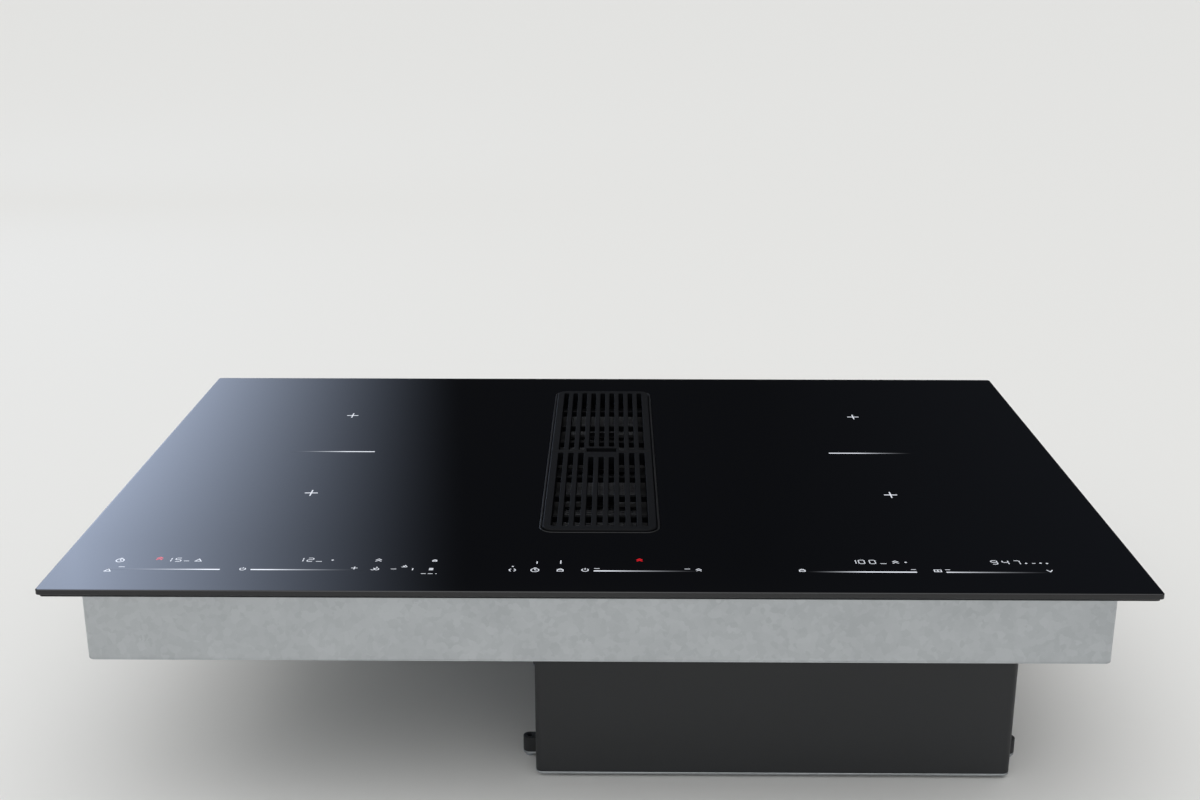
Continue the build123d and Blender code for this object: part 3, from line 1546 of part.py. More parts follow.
if __name__ == "__main__":
    main()
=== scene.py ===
import math

import bmesh
import bpy
import numpy as np
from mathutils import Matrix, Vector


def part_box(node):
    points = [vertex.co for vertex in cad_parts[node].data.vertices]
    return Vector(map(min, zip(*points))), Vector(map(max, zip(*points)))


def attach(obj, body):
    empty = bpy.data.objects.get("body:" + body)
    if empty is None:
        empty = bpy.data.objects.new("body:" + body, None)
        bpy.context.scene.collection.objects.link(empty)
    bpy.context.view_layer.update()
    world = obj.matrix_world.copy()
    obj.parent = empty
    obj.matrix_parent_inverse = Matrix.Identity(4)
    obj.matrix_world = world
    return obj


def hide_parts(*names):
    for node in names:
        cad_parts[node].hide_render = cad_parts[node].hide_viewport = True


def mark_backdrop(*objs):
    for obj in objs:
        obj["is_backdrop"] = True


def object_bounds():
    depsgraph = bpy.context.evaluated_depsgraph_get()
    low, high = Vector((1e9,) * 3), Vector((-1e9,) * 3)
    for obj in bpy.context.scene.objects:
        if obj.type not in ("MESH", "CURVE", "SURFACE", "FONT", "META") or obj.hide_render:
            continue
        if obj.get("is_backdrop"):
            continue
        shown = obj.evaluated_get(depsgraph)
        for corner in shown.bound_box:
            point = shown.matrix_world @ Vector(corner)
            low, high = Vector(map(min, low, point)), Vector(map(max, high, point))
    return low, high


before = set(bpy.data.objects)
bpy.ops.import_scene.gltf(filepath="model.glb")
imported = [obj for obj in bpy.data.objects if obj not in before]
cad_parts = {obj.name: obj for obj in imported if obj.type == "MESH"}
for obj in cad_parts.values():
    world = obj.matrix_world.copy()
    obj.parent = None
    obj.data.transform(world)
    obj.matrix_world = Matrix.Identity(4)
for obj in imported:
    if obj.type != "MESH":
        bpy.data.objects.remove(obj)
cad_low, cad_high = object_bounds()


# Casing. Two folded blanks of hot-dip galvanised steel, 1 mm thick: a floor with vents and
# a ring of walls, spot-welded together and screwed to the glass assembly. The zinc has frozen
# in flat crystals a few millimetres wide, each a slightly different grey.

MM = 0.001


def linear(colour):
    """An sRGB hex colour as linear RGBA: each channel c is c / 12.92 below 0.04045, and
    ((c + 0.055) / 1.055) to the power of 2.4 above."""
    channels = np.array([int(colour[i:i + 2], 16) for i in (0, 2, 4)]) / 255
    light = np.where(channels > 0.04045, ((channels + 0.055) / 1.055) ** 2.4, channels / 12.92)
    return (*light, 1.0)


def add(tree, kind, sockets=None, **settings):
    """Add one node. Settings are its own options; sockets gives an input its value, or the
    output that feeds it."""
    made = tree.nodes.new("ShaderNode" + kind)
    for name, value in settings.items():
        setattr(made, name, value)
    for name, value in (sockets or {}).items():
        if isinstance(value, bpy.types.NodeSocket):
            tree.links.new(value, made.inputs[name])
        else:
            made.inputs[name].default_value = value
    return made


def sized(size):
    """The texture scale at which a pattern's features are that many millimetres wide."""
    return 1 / (size * MM)


def bare(name):
    """A new material and its empty node tree."""
    made = bpy.data.materials.new(name)
    made.use_nodes = True
    made.node_tree.nodes.clear()
    return made, made.node_tree


def begin(name, colour, roughness, metallic=0.0, ior=1.5, specular=0.5):
    """A new material, its node tree, its plain shader, and the piece's Object coordinates in
    metres. A metal keeps the default IOR of 1.5."""
    made, tree = bare(name)
    shader = add(tree, "BsdfPrincipled", {
        "Base Color": linear(colour), "Roughness": roughness, "Metallic": metallic,
        "IOR": ior, "Specular IOR Level": specular,
    })
    add(tree, "OutputMaterial", {"Surface": shader.outputs["BSDF"]})
    where = add(tree, "TexCoord").outputs["Object"]
    return made, tree, shader, where


def vary(tree, shader, pattern, colours=None, roughness=None, depth=None):
    """Wherever a pattern goes from 0 to 1, the shader's colour goes from the first of two to
    the second, its roughness likewise, and its surface rises by a depth in millimetres."""
    if colours:
        low, high = (linear(colour) for colour in colours)
        # a Mix node's colours are its inputs 6 and 7 and its output 2
        tint = add(tree, "Mix", {0: pattern, 6: low, 7: high}, data_type="RGBA")
        tree.links.new(tint.outputs[2], shader.inputs["Base Color"])
    if roughness:
        low, high = roughness
        polish = add(tree, "MapRange", {"Value": pattern, "To Min": low, "To Max": high})
        tree.links.new(polish.outputs["Result"], shader.inputs["Roughness"])
    if depth:
        bump = add(tree, "Bump", {"Height": pattern, "Strength": 1.0, "Distance": depth * MM})
        tree.links.new(bump.outputs["Normal"], shader.inputs["Normal"])


def dress(pieces, material, body=None):
    """Gives each CAD node or piece its one material, and a new piece its body."""
    for piece in pieces:
        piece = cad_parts.get(piece, piece)
        piece.data.materials.clear()
        piece.data.materials.append(material)
        if body:
            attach(piece, body)


def placed(name, mesh):
    """A mesh or a camera as an object at the origin, in the scene."""
    made = bpy.data.objects.new(name, mesh)
    bpy.context.scene.collection.objects.link(made)
    return made


def softened(node, name, edge):
    """A piece with a CAD node's own form and worked edges: its triangles are merged, flat faces
    joined, and every edge sharper than 30 degrees rounded by edge millimetres."""
    flat, sharp = math.radians(0.3), math.radians(30)
    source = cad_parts[node].data
    points = np.empty(len(source.vertices) * 3, np.float32)
    source.vertices.foreach_get("co", points)
    corners = np.empty(len(source.loops), np.int32)
    source.loops.foreach_get("vertex_index", corners)
    mesh = bpy.data.meshes.new(name)
    mesh.from_pydata(points.reshape(-1, 3), [], corners.reshape(-1, 3))
    merged = bmesh.new()
    merged.from_mesh(mesh)
    bmesh.ops.remove_doubles(merged, verts=merged.verts, dist=1e-6)
    bmesh.ops.dissolve_limit(merged, angle_limit=flat, verts=merged.verts, edges=merged.edges)
    merged.to_mesh(mesh)
    merged.free()
    mesh.shade_smooth()
    mesh.set_sharp_from_angle(angle=sharp)
    made = placed(name, mesh)
    bevel = made.modifiers.new("worked edges", "BEVEL")
    bevel.width = edge * MM
    bevel.segments = 2
    bevel.limit_method = "ANGLE"
    bevel.angle_limit = sharp
    bevel.use_clamp_overlap = False
    bevel.harden_normals = True
    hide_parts(node)
    return made


# Hot-dip galvanised steel: crystals in soft greys with bent outlines, a fine feathering inside
# each, a roughness that changes from one crystal to the next, and broad dull clouds.
crystal_width, crystal_bend, cloud_width, feather_width = 5, 5, 60, 0.7     # millimetres
galvanised, tree, shader, where = begin("galvanised steel, hot dipped", "AEB2B5",
                                        roughness=0.4, metallic=1.0)
waver = add(tree, "TexNoise", {"Vector": where, "Scale": sized(3.846), "Detail": 3.0})
bent = add(tree, "VectorMath", {0: waver.outputs["Color"], "Scale": crystal_bend * MM},
           operation="SCALE")
place = add(tree, "VectorMath", {0: where, 1: bent.outputs[0]}, operation="ADD").outputs[0]
crystal = add(tree, "TexVoronoi", {"Vector": place, "Scale": sized(crystal_width)})
tone = add(tree, "SeparateColor", {"Color": crystal.outputs["Color"]})
cloud = add(tree, "TexNoise", {"Vector": where, "Scale": sized(cloud_width), "Detail": 4.0})
patch = add(tree, "Math", {0: tone.outputs[0], 1: 0.45, 2: cloud.outputs["Fac"]},
            operation="MULTIPLY_ADD")
feather = add(tree, "TexNoise", {"Vector": place, "Scale": sized(feather_width), "Detail": 2.0})
vary(tree, shader, patch.outputs[0], colours=("A6AAAD", "B9BDC0"))
vary(tree, shader, tone.outputs[1], roughness=(0.36, 0.44))
vary(tree, shader, feather.outputs["Fac"], depth=0.015)

dress([softened("casing_floor", "casing_floor_sheet", edge=0.25),
       softened("casing_walls", "casing_wall_sheet", edge=0.35)],
      galvanised, "root")


# Glass plate. Black glass ceramic 4 mm thick, floated flat and polished, with an opening
# water-jet cut in the middle. Its outer edge is ground round; it is glued to the inlet frame
# and rests on foam tape. Levels are millimetres above the tape's underside.

underside, face = 2.0, 6.0
edge_radius = 0.8
plate_half, plate_corner = (400.0, 260.0), 3.0
opening_half, opening_corner, opening_y = (47.75, 183.75), 11.75, 32.0


def surface(name, grid, close_rows=False):
    """A mesh from a grid of points in millimetres, (rows, columns, 3): one face for each cell.
    The last column joins the first, and where rows close, the last row joins the first."""
    rows, columns = grid.shape[:2]
    index = np.arange(rows * columns).reshape(rows, columns)
    if close_rows:
        index = np.vstack([index, index[:1]])
    index = np.hstack([index, index[:, :1]])
    cells = np.stack([index[:-1, :-1], index[:-1, 1:], index[1:, 1:], index[1:, :-1]], -1)
    mesh = bpy.data.meshes.new(name)
    mesh.from_pydata(grid.reshape(-1, 3) * MM, [], cells.reshape(-1, 4))
    mesh.shade_smooth()
    return placed(name, mesh)


def outline(half, radius, inset, y=0.0):
    """A rounded rectangle drawn once for each inset, in millimetres: the corner centres stay
    where they are, and the quarter circles about them shrink by the inset. (insets, points, 2)"""
    turn = np.linspace(0, np.pi / 2, 10) + np.arange(4)[:, None] * np.pi / 2
    arm = np.stack([np.cos(turn), np.sin(turn)], -1)
    side = np.array([[1, 1], [-1, 1], [-1, -1], [1, -1]])[:, None, :]
    centre = side * (np.array(half) - radius) + [0, y]
    reach = (radius - np.asarray(inset, float))[:, None, None, None]
    return (centre + reach * arm).reshape(len(inset), -1, 2)


# the plate's section, from the opening's lower edge over the face to the rim and underneath
arc = np.linspace(0, np.pi / 2, 6)
opening_inset = [0.0, 0.0, -0.03, -0.15, -0.4]
opening_z = [underside, face - 0.15, face - 0.03, face, face]
rim_inset = [2 * edge_radius, *edge_radius * (1 - np.sin(arc)), 0.0, 0.25]
rim_z = [face, *face - edge_radius * (1 - np.cos(arc)), underside + 0.25, underside]
rings = np.concatenate([outline(opening_half, opening_corner, opening_inset, opening_y),
                        outline(plate_half, plate_corner, rim_inset)])
levels = np.array([*opening_z, *rim_z])[:, None, None]
grid = np.concatenate([rings, np.broadcast_to(levels, (*rings.shape[:2], 1))], -1)
glass = surface("glass_plate", grid, close_rows=True)
solid = bmesh.new()
solid.from_mesh(glass.data)
bmesh.ops.recalc_face_normals(solid, faces=solid.faces)
solid.to_mesh(glass.data)
solid.free()
glass.data.set_sharp_from_angle(angle=math.radians(40))

# Glass ceramic, polished: nearly black through and through, a hard clean reflection with a
# roll so slight that only long reflections show it, and the faintest film of wiping.
polished, tree, shader, where = begin("glass ceramic, polished", "0A0B0E",
                                      roughness=0.04, ior=1.53)
film = add(tree, "TexNoise", {
    "Vector": where, "Scale": sized(143), "Detail": 5.0, "Roughness": 0.6,
})
roll = add(tree, "TexNoise", {"Vector": where, "Scale": sized(90), "Detail": 0.0})
vary(tree, shader, film.outputs["Fac"], roughness=(0.025, 0.07))
vary(tree, shader, roll.outputs["Fac"], depth=0.006)
# The same glass where a diamond wheel ground the rim: fine matt, a little greyer.
ground, tree, shader, where = begin("glass ceramic, ground edge", "0C0D10",
                                    roughness=0.22, ior=1.53)
wheel = add(tree, "TexNoise", {"Vector": where, "Scale": sized(0.4), "Detail": 2.0})
vary(tree, shader, wheel.outputs["Fac"], depth=0.01)

dress([glass], polished, "root")
glass.data.materials.append(ground)
# the row of cells with this number ends where the rim begins to curve
last_polished = len(opening_z)
row = np.arange(len(glass.data.polygons)) // grid.shape[1]
is_ground = (row > last_polished).astype(np.int32)
glass.data.polygons.foreach_set("material_index", is_ground)
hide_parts("glass_top")


# Marks on the glass. Symbols, zone crosses and sliders are windows in the black under-print,
# lit white from below by small lamps, two of them red. A slider's light fades towards one end.
# Places are millimetres from the middle of the plate.

mark_height = 0.03      # above the glass, so that the marks are the topmost faces


def ribbon(path, width):
    """Both sides of a flat stroke: each point of the path moves half the width along its
    normal, which is square to the mean of the two steps beside it and mitred. (points, 2, 2)"""
    path = np.asarray(path, float)
    step = np.diff(path, axis=0)
    step /= np.linalg.norm(step, axis=1)[:, None]
    before, after = np.vstack([step[:1], step]), np.vstack([step, step[-1:]])
    if np.allclose(path[0], path[-1]):
        before[0], after[-1] = step[-1], step[0]
    mean = before + after
    mean /= np.linalg.norm(mean, axis=1)[:, None]
    normal = np.stack([-mean[:, 1], mean[:, 0]], -1)
    mitre = 1 / np.clip((mean * after).sum(1), 0.5, 1)[:, None]
    shift = normal * mitre * width / 2
    return np.stack([path - shift, path + shift], 1)


def arc_path(radius, start=0, stop=360, x=0.0, y=0.0):
    """Points on a circle between two angles in degrees, about fifteen degrees apart."""
    turn = np.radians(np.linspace(start, stop, max(3, abs(stop - start) // 15 + 1)))
    return np.stack([x + radius * np.cos(turn), y + radius * np.sin(turn)], -1)


def dash(start, stop, y):
    """A short level stroke."""
    return [(start, y), (stop, y)]


def digit(number, x, y, wide=4.2):
    """A seven-segment digit 6.4 mm tall: the bars that light up for it, each drawn at 0.8 of
    its length about its own middle, so that it stops short of the corners."""
    w, h = wide / 2, 3.2
    bars = {"a": [(-w, h), (w, h)], "b": [(w, h), (w, 0)], "c": [(w, 0), (w, -h)],
            "d": [(-w, -h), (w, -h)], "e": [(-w, -h), (-w, 0)], "f": [(-w, 0), (-w, h)],
            "g": [(-w, 0), (w, 0)]}
    lit = {0: "abcdef", 1: "bc", 2: "abged", 4: "fgbc", 5: "afgcd", 7: "abc", 9: "abcdfg"}
    ends = np.array([bars[bar] for bar in lit[number]])
    middle = ends.mean(1, keepdims=True)
    return middle + 0.8 * (ends - middle) + [x, y]


def symbol(strokes, x, y, size=0.85):
    """A symbol's strokes at its size and place on the glass."""
    return [size * np.asarray(stroke, float) + [x, y] for stroke in strokes]


timer = [arc_path(3.4, -270, 90), [(0, 0), (0, 2.2)], [(0, 0), (1.7, 0)], dash(-1.2, 1.2, 4.8)]
power = [arc_path(3.4, 125, 415), [(0, 1.0), (0, 4.6)]]
lock = [[(-2.8, -3), (2.8, -3), (2.8, 0.6), (-2.8, 0.6), (-2.8, -3)],
        arc_path(1.9, 0, 180, 0, 0.8)]
ring = [arc_path(3.0, 115, 245), arc_path(3.0, -65, 65), arc_path(0.5, 0, 360, 0, 8.5)]
plus = [dash(-2.8, 2.8, 0), [(0, -2.8), (0, 2.8)]]
triangle = [[(-2.6, -2.2), (2.6, -2.2), (0, 2.6), (-2.6, -2.2)]]
square = [dash(-2.2, 2.2, y) for y in (-2.1, -0.7, 0.7, 2.1)]
air = [arc_path(1.9, -150, 60, x, y) for x, y in ((0, 2.3), (-2.0, -1.2), (2.0, -1.2))]
boost = [[(-2.6, -2.4), (0, 0), (2.6, -2.4)], [(-2.6, 0.6), (0, 3), (2.6, 0.6)]]
bridge = [[(-3.6, -2.4), (3.6, -2.4), (3.6, 2.4), (-3.6, 2.4), (-3.6, -2.4)],
          [(0, -2.4), (0, 2.4)]]
down = [[(-2.6, 2.0), (0, -2.0), (2.6, 2.0)]]
dot = [arc_path(0.6)]

white = [
    # left zones
    *symbol(triangle, -358.5, -225.5), *symbol(timer, -355, -208), dash(-352.5, -348, -219.5),
    *digit(1, -318.5, -206.5, 2.4), *digit(5, -312, -206.5), dash(-307.5, -303.5, -208.5),
    *symbol(triangle, -296.8, -207), *symbol(power, -260.5, -222.5, 0.6),
    *digit(1, -220.5, -205.5, 2.4), *digit(2, -214, -205.5), dash(-209.5, -205, -208.5),
    *symbol(dot, -197.5, -206), *symbol(plus, -179, -220), *symbol(boost, -163.2, -206),
    *symbol(air, -163.8, -221, 0.75), dash(-152, -148, -221.5),
    *symbol(air, -142.8, -216.5, 0.5), [(-136, -223.5), (-136, -220)],
    *symbol(lock, -121.5, -206, 0.5), *symbol(square, -122.5, -221.5, 0.7),
    dash(-129, -125.5, -229.5), dash(-124, -120.5, -229.5), dash(-118.5, -117.5, -229.5),
    # intake
    *symbol(ring, -63, -222.5, 0.75), *symbol(timer, -46.5, -222.5),
    *symbol(lock, -28, -222, 0.75), [(-45.5, -211), (-45.5, -207)], [(-28, -211), (-28, -205)],
    *symbol(power, -9.8, -222, 0.7), dash(-3.2, 0.8, -219.3), dash(63, 67, -219.5),
    *symbol(boost, 73.3, -221.5, 0.8),
    # right zones
    *symbol(lock, 148.8, -221, 0.7), *digit(1, 189.2, -205.5, 2.0), *digit(0, 194.5, -205.5),
    *digit(0, 202.5, -205.5), dash(208, 212.5, -208.5), *symbol(boost, 219.5, -206),
    *symbol(dot, 227, -206), dash(228.5, 232, -219), *symbol(bridge, 247.7, -221, 0.7),
    dash(253.5, 257, -219), *digit(9, 292.5, -205.5), *digit(4, 300.8, -205.5),
    *digit(7, 309.2, -205.5), *symbol(dot, 315.6, -207), dash(320, 322.5, -207),
    *symbol(dot, 326.3, -206.5), *symbol(dot, 331, -207), *symbol(down, 329.5, -220.5, 0.8),
]
red = [*symbol(boost, -326.5, -204.5), *symbol(boost, 30.3, -204, 0.8)]
cross = [dash(-5.4, 5.4, 0), [(0, -6.6), (0, 6.6)]]
crosses = [stroke for x in (-240, 240) for y in (-69, 136) for stroke in symbol(cross, x, y, 1.0)]
# each slider: x at its bright end, x at its dark end, y, width, and the light's strength,
# which is over 1 where it stays full for part of the way
sliders = np.array([
    (-277, -360, -223.5, 1.7, 1.3),
    (-254.5, -172, -223.5, 1.7, 1.4),
    (-3.5, 79, -223.5, 1.7, 1.3),
    (232, 150, -223.5, 1.7, 4.0),
    (253.5, 335, -223.5, 1.7, 0.9),
    (203, 279, 33, 1.9, 2.4),
    (-203, -279, 33, 1.9, 2.4),
])
bright, dark, level, slider_width, slider_light = sliders.T
slider_lines = np.linspace(np.stack([bright, level], -1), np.stack([dark, level], -1), 32, axis=1)


def marks(name, strokes, widths, strengths, fade=0.0):
    """One flat mesh of strokes just above the glass. Its attribute 'glow' says how brightly
    each point is lit: strength times (1 - t) to the power of fade, at most 1, where t goes from
    0 to 1 along the stroke."""
    points, cells, lit, count = [], [], [], 0
    widths, strengths = (np.broadcast_to(each, len(strokes)) for each in (widths, strengths))
    for stroke, width, strength in zip(strokes, widths, strengths):
        sides = ribbon(stroke, width)
        number = len(sides)
        index = count + np.arange(2 * number).reshape(number, 2)
        cells.append(np.stack([index[:-1, 0], index[1:, 0], index[1:, 1], index[:-1, 1]], -1))
        points.append(sides.reshape(-1, 2))
        glow = np.minimum(1.0, strength * np.linspace(1, 0, number) ** fade)
        lit.append(np.repeat(glow, 2))
        count += 2 * number
    flat = np.column_stack([np.concatenate(points), np.full(count, face + mark_height)])
    mesh = bpy.data.meshes.new(name)
    mesh.from_pydata(flat * MM, [], np.concatenate(cells))
    attribute = mesh.attributes.new("glow", "FLOAT", "POINT")
    attribute.data.foreach_set("value", np.concatenate(lit).astype(np.float32))
    return placed(name, mesh)


def lit_window(name, colour):
    """Light of one colour behind the polished glass: a glossy dark face that gives off light
    where the attribute 'glow' says so, a tenth more or less from speck to speck."""
    made, tree, shader, where = begin(name, "0A0B0E", roughness=0.05, ior=1.53)
    glow = add(tree, "Attribute", attribute_name="glow").outputs["Fac"]
    speck = add(tree, "TexNoise", {"Vector": where, "Scale": sized(0.8), "Detail": 1.0})
    even = add(tree, "MapRange", {"Value": speck.outputs["Fac"], "To Min": 0.9, "To Max": 1.1})
    light = add(tree, "Math", {0: glow, 1: even.outputs["Result"]}, operation="MULTIPLY")
    tree.links.new(light.outputs[0], shader.inputs["Emission Strength"])
    shader.inputs["Emission Color"].default_value = linear(colour)
    return made


# White light through a diffuser: cool and even.
white_light = lit_window("white light behind glass", "F2F6FF")
dress([marks("lit_symbols", white, 0.8, 0.85),
       marks("zone_crosses", crosses, [1.7, 1.1] * 4, 0.85),
       marks("slider_lights", slider_lines, slider_width, slider_light, fade=2.2)],
      white_light, "root")
# Red light: what is on, or heating.
red_light = lit_window("red light behind glass", "F0202C")
dress([marks("red_symbols", red, 1.2, 0.8)], red_light, "root")


# Inlet frame. A ring of black-anodised aluminium that lines the opening, with a ledge inside
# for the grilles and a flange below; it is glued under the glass and screwed to the well.

def grained(name, colours, roughness, grain, depth, blotch=35.0, **finish):
    """A material with an even grain: noise of the grain's size in millimetres makes the relief,
    and a broad noise of the blotch's size moves colour and roughness between two values."""
    made, tree, shader, where = begin(name, colours[0], roughness[0], **finish)
    broad = add(tree, "TexNoise", {"Vector": where, "Scale": sized(blotch), "Detail": 4.0})
    fine = add(tree, "TexNoise", {"Vector": where, "Scale": sized(grain), "Detail": 2.0})
    vary(tree, shader, broad.outputs["Fac"], colours, roughness)
    vary(tree, shader, fine.outputs["Fac"], depth=depth)
    return made


# Bead-blasted and black-anodised aluminium: satin, almost black, with a faint metal sheen.
anodised = grained("aluminium, black anodised", ("0A0B0D", "0F1013"), (0.3, 0.42),
                   grain=0.5, depth=0.01)
dress([softened("inlet_frame", "inlet_frame_ring", edge=0.25)], anodised, "root")


# Grilles. Two die-cast aluminium plates with nine slots each, powder-coated matt black, that
# lie loose on silicone pads in the frame. The rear one has a notch for a finger.

# Powder coat in matt black: a fine orange-peel skin, and edges that catch a soft light. Its colour
# is painted darker than the coat's own black, and its shine is kept low: painted shade for a dim
# room.
powder = grained("cast aluminium, matt black powder coat", ("090A0C", "0D0E11"), (0.5, 0.62),
                 grain=0.9, depth=0.03, specular=0.08)
dress([softened("grille_front", "grille_front_casting", edge=0.4)],
      powder, "grille_front")
dress([softened("grille_rear", "grille_rear_casting", edge=0.4)],
      powder, "grille_rear")


# Rubber and foam. Silicone pads and beads, buffers under the coil carriers, dampers under the
# motor, and closed-cell foam tape under the rim and round the outlet.

# Cast silicone: black gone slightly grey, soft-looking, smooth.
silicone = grained("silicone, cast black", ("2A2B2C", "333435"), (0.38, 0.5),
                   grain=1.2, depth=0.01)
dress(["silicone_seals", "grille_pads_front", "grille_pads_rear"], silicone)
# Moulded rubber: black and dull.
rubber = grained("rubber, moulded", ("151515", "1C1C1C"), (0.7, 0.85), grain=0.5, depth=0.02)
dress(["carrier_buffers", "motor_dampers"], rubber)
# Closed-cell foam tape: dull dark grey, with open cells about 0.8 mm wide on its cut sides.
foam = grained("foam tape, closed cell", ("1B1C1E", "242628"), (0.85, 0.95),
               grain=0.8, depth=0.15)
dress(["rim_seal", "outlet_gasket"], foam)


# Well, drip tray and filters. A moulded well screwed under the frame; in it stand a lift-out
# tray and two cassettes of expanded aluminium in folded aluminium frames.

# Moulded polypropylene: even dark grey with a spark-eroded grain.
well_plastic = grained("polypropylene, moulded dark", ("17181A", "1D1E21"), (0.45, 0.6),
                       grain=0.4, depth=0.02)
dress(["intake_well"], well_plastic)
# The same for the tray: a lighter grey and a smoother mould, to wipe clean.
tray_plastic = grained("polypropylene, moulded grey", ("26282A", "2D2F31"), (0.35, 0.48),
                       grain=0.4, depth=0.015)
dress(["drip_tray"], tray_plastic)


def rolled(name, colours, roughness, stretch, grain=0.5, depth=0.008, metallic=1.0):
    """Rolled, drawn or brushed metal: a noise drawn out along one axis makes the fine lines,
    in relief, in tone and in roughness. stretch holds the scale along X, Y and Z, and is small
    along the axis that the lines follow."""
    made, tree, shader, where = begin(name, colours[0], roughness[0], metallic)
    along = add(tree, "Mapping", {"Vector": where, "Scale": stretch}).outputs[0]
    lines = add(tree, "TexNoise", {"Vector": along, "Scale": sized(grain), "Detail": 3.0})
    vary(tree, shader, lines.outputs["Fac"], colours, roughness, depth)
    return made


# Folded aluminium sheet, near black and without metal shine: painted shade for the shade the
# frames lie in under the grilles. The rolling lines still show in its satin.
filter_metal_painted_shade = rolled("aluminium, folded, near black as painted shade", ("0C0D0F", "141518"), (0.35, 0.5),
                      stretch=(1, 0.04, 1), metallic=0.0)
dress(["filter_frame_front", "filter_frame_rear"], filter_metal_painted_shade)


def strands(name, paths, width, thick, tilt):
    """Flat strands along many paths, (strands, points, 3) in millimetres: a rectangle of that
    width and thickness, turned by tilt degrees to one side or the other, follows each path."""
    turn = np.radians(tilt)[:, None]
    across = np.array([-1, 1, 1, -1]) * width / 2
    up = np.array([-1, -1, 1, 1]) * thick / 2
    side = across * np.cos(turn) - up * np.sin(turn)
    rise = across * np.sin(turn) + up * np.cos(turn)
    section = np.stack([np.zeros_like(side), side, rise], -1)
    points = paths[:, :, None, :] + section[:, None, :, :]
    number, steps = paths.shape[:2]
    index = np.arange(number * steps * 4).reshape(number, steps, 4)
    near, far = index[:, :-1], index[:, 1:]
    cells = np.stack([near, np.roll(near, -1, 2), np.roll(far, -1, 2), far], -1).reshape(-1, 4)
    ends = np.concatenate([index[:, 0, ::-1], index[:, -1]])
    mesh = bpy.data.meshes.new(name)
    mesh.from_pydata(points.reshape(-1, 3) * MM, [], np.concatenate([cells, ends]))
    return placed(name, mesh)


def expanded_metal(name, node):
    """Two layers of expanded metal in a node's box. Row n zigzags about y = n / 2 short ways by
    a quarter of one, a full wave each long way, and every second row is turned round, so that
    neighbours meet at the knuckles and leave diamonds between."""
    long_way, short_way = 8.0, 4.0
    strand_width, strand_thick, strand_tilt = 0.9, 0.45, 32
    layer_in = 0.75     # from the box's top or bottom to a layer's middle
    low, high = (np.array(corner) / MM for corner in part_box(node))
    rows = np.arange(low[1] + 2.0, high[1] - 2.0, short_way / 2)
    x = np.arange(low[0] + 0.5, high[0] - 0.5, long_way / 8)
    # a triangle wave, cut flat where two rows touch
    wave = np.clip(2.6 * np.abs((x / long_way) % 1 - 0.5) - 0.65, -0.5, 0.5) * short_way / 2
    turned = np.where(np.arange(len(rows)) % 2, -1.0, 1.0)
    layers = []
    for level, shift in ((low[2] + layer_in, 0.0), (high[2] - layer_in, long_way / 4)):
        swing = np.interp((x + shift - x[0]) % (x[-1] - x[0]), x - x[0], wave)
        y = rows[:, None] + turned[:, None] * swing
        layers.append(np.stack([np.broadcast_to(x, y.shape), y, np.full(y.shape, level)], -1))
    tilt = np.tile(turned * strand_tilt, 2)
    return strands(name, np.concatenate(layers), strand_width, strand_thick, tilt)


# Expanded aluminium: thin sharp strands, a soft glint on the turned ones. Its mid grey, darker
# than bare aluminium, is painted shade for the shade under the grilles.
mesh_metal_painted_shade = grained("aluminium, expanded, mid grey as painted shade", ("5C5E62", "6A6C70"), (0.4, 0.55),
                     grain=0.4, depth=0.01)
for end in ("front", "rear"):
    mesh_piece = expanded_metal(f"expanded_mesh_{end}", f"filter_mesh_{end}")
    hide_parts(f"filter_mesh_{end}")
    dress([mesh_piece], mesh_metal_painted_shade, f"filter_{end}")


# Cooling, coils and boards. Litz coils glued on formers with ferrite bars, mica above them, on
# two aluminium trays; power boards, heat sinks and fans stand on the casing's floor.

# Rolled aluminium tray and extruded heat sink: bright, with fine lines across or along.
tray_metal = rolled("aluminium, rolled sheet", ("C0C2C4", "CFD1D2"), (0.28, 0.42),
                    stretch=(0.04, 1, 1))
dress(["coil_carrier_left", "coil_carrier_right"], tray_metal)
sink_metal = rolled("aluminium, extruded", ("B6B9BC", "C8CACC"), (0.26, 0.38),
                    stretch=(1, 0.03, 1))
dress(["heat_sink_left", "heat_sink_right"], sink_metal)
# Sheet mica pressed from flakes: pale brown, patchy, with a pearly gloss.
mica = grained("mica, pressed", ("A8946E", "C6B48C"), (0.25, 0.5),
               grain=2.5, depth=0.02, blotch=9.0)
dress(["mica_sheets"], mica)
# Glass-filled PBT: grey and dry.
former_plastic = grained("PBT, glass filled", ("5E6063", "696B6E"), (0.5, 0.62),
                         grain=0.6, depth=0.015)
dress(["coil_formers", "plastic_posts", "touch_board_holder"], former_plastic)
# Sintered ferrite: charcoal grey, dull, a little chalky.
ferrite = grained("ferrite, sintered", ("26262A", "303034"), (0.5, 0.7), grain=0.3, depth=0.02)
dress(["ferrite_bars"], ferrite)
# Glazed white ceramic caps over the sensors.
ceramic = grained("ceramic, white glazed", ("DDDBD4", "E6E4DF"), (0.2, 0.32),
                  grain=0.8, depth=0.01)
dress(["coil_sensors"], ceramic)

# Litz wire: each turn is a round bundle of lacquered copper strands 3.4 mm thick; the strands
# show as a fine slanting twist, and the lacquer is a little darker in some turns.
litz, tree, shader, where = begin("copper litz, lacquered", "B0592E",
                                  roughness=0.35, metallic=1.0)
run = add(tree, "UVMap").outputs["UV"]
slant = add(tree, "TexWave", {"Vector": run, "Scale": 1.0, "Distortion": 0.4, "Detail": 1.0},
            bands_direction="DIAGONAL")
tarnish = add(tree, "TexNoise", {"Vector": where, "Scale": sized(14), "Detail": 3.0})
both = add(tree, "Math", {0: slant.outputs["Fac"], 1: tarnish.outputs["Fac"]},
           operation="MULTIPLY")
vary(tree, shader, both.outputs[0], colours=("7E3A1C", "D07A42"))
vary(tree, shader, slant.outputs["Fac"], depth=0.12)


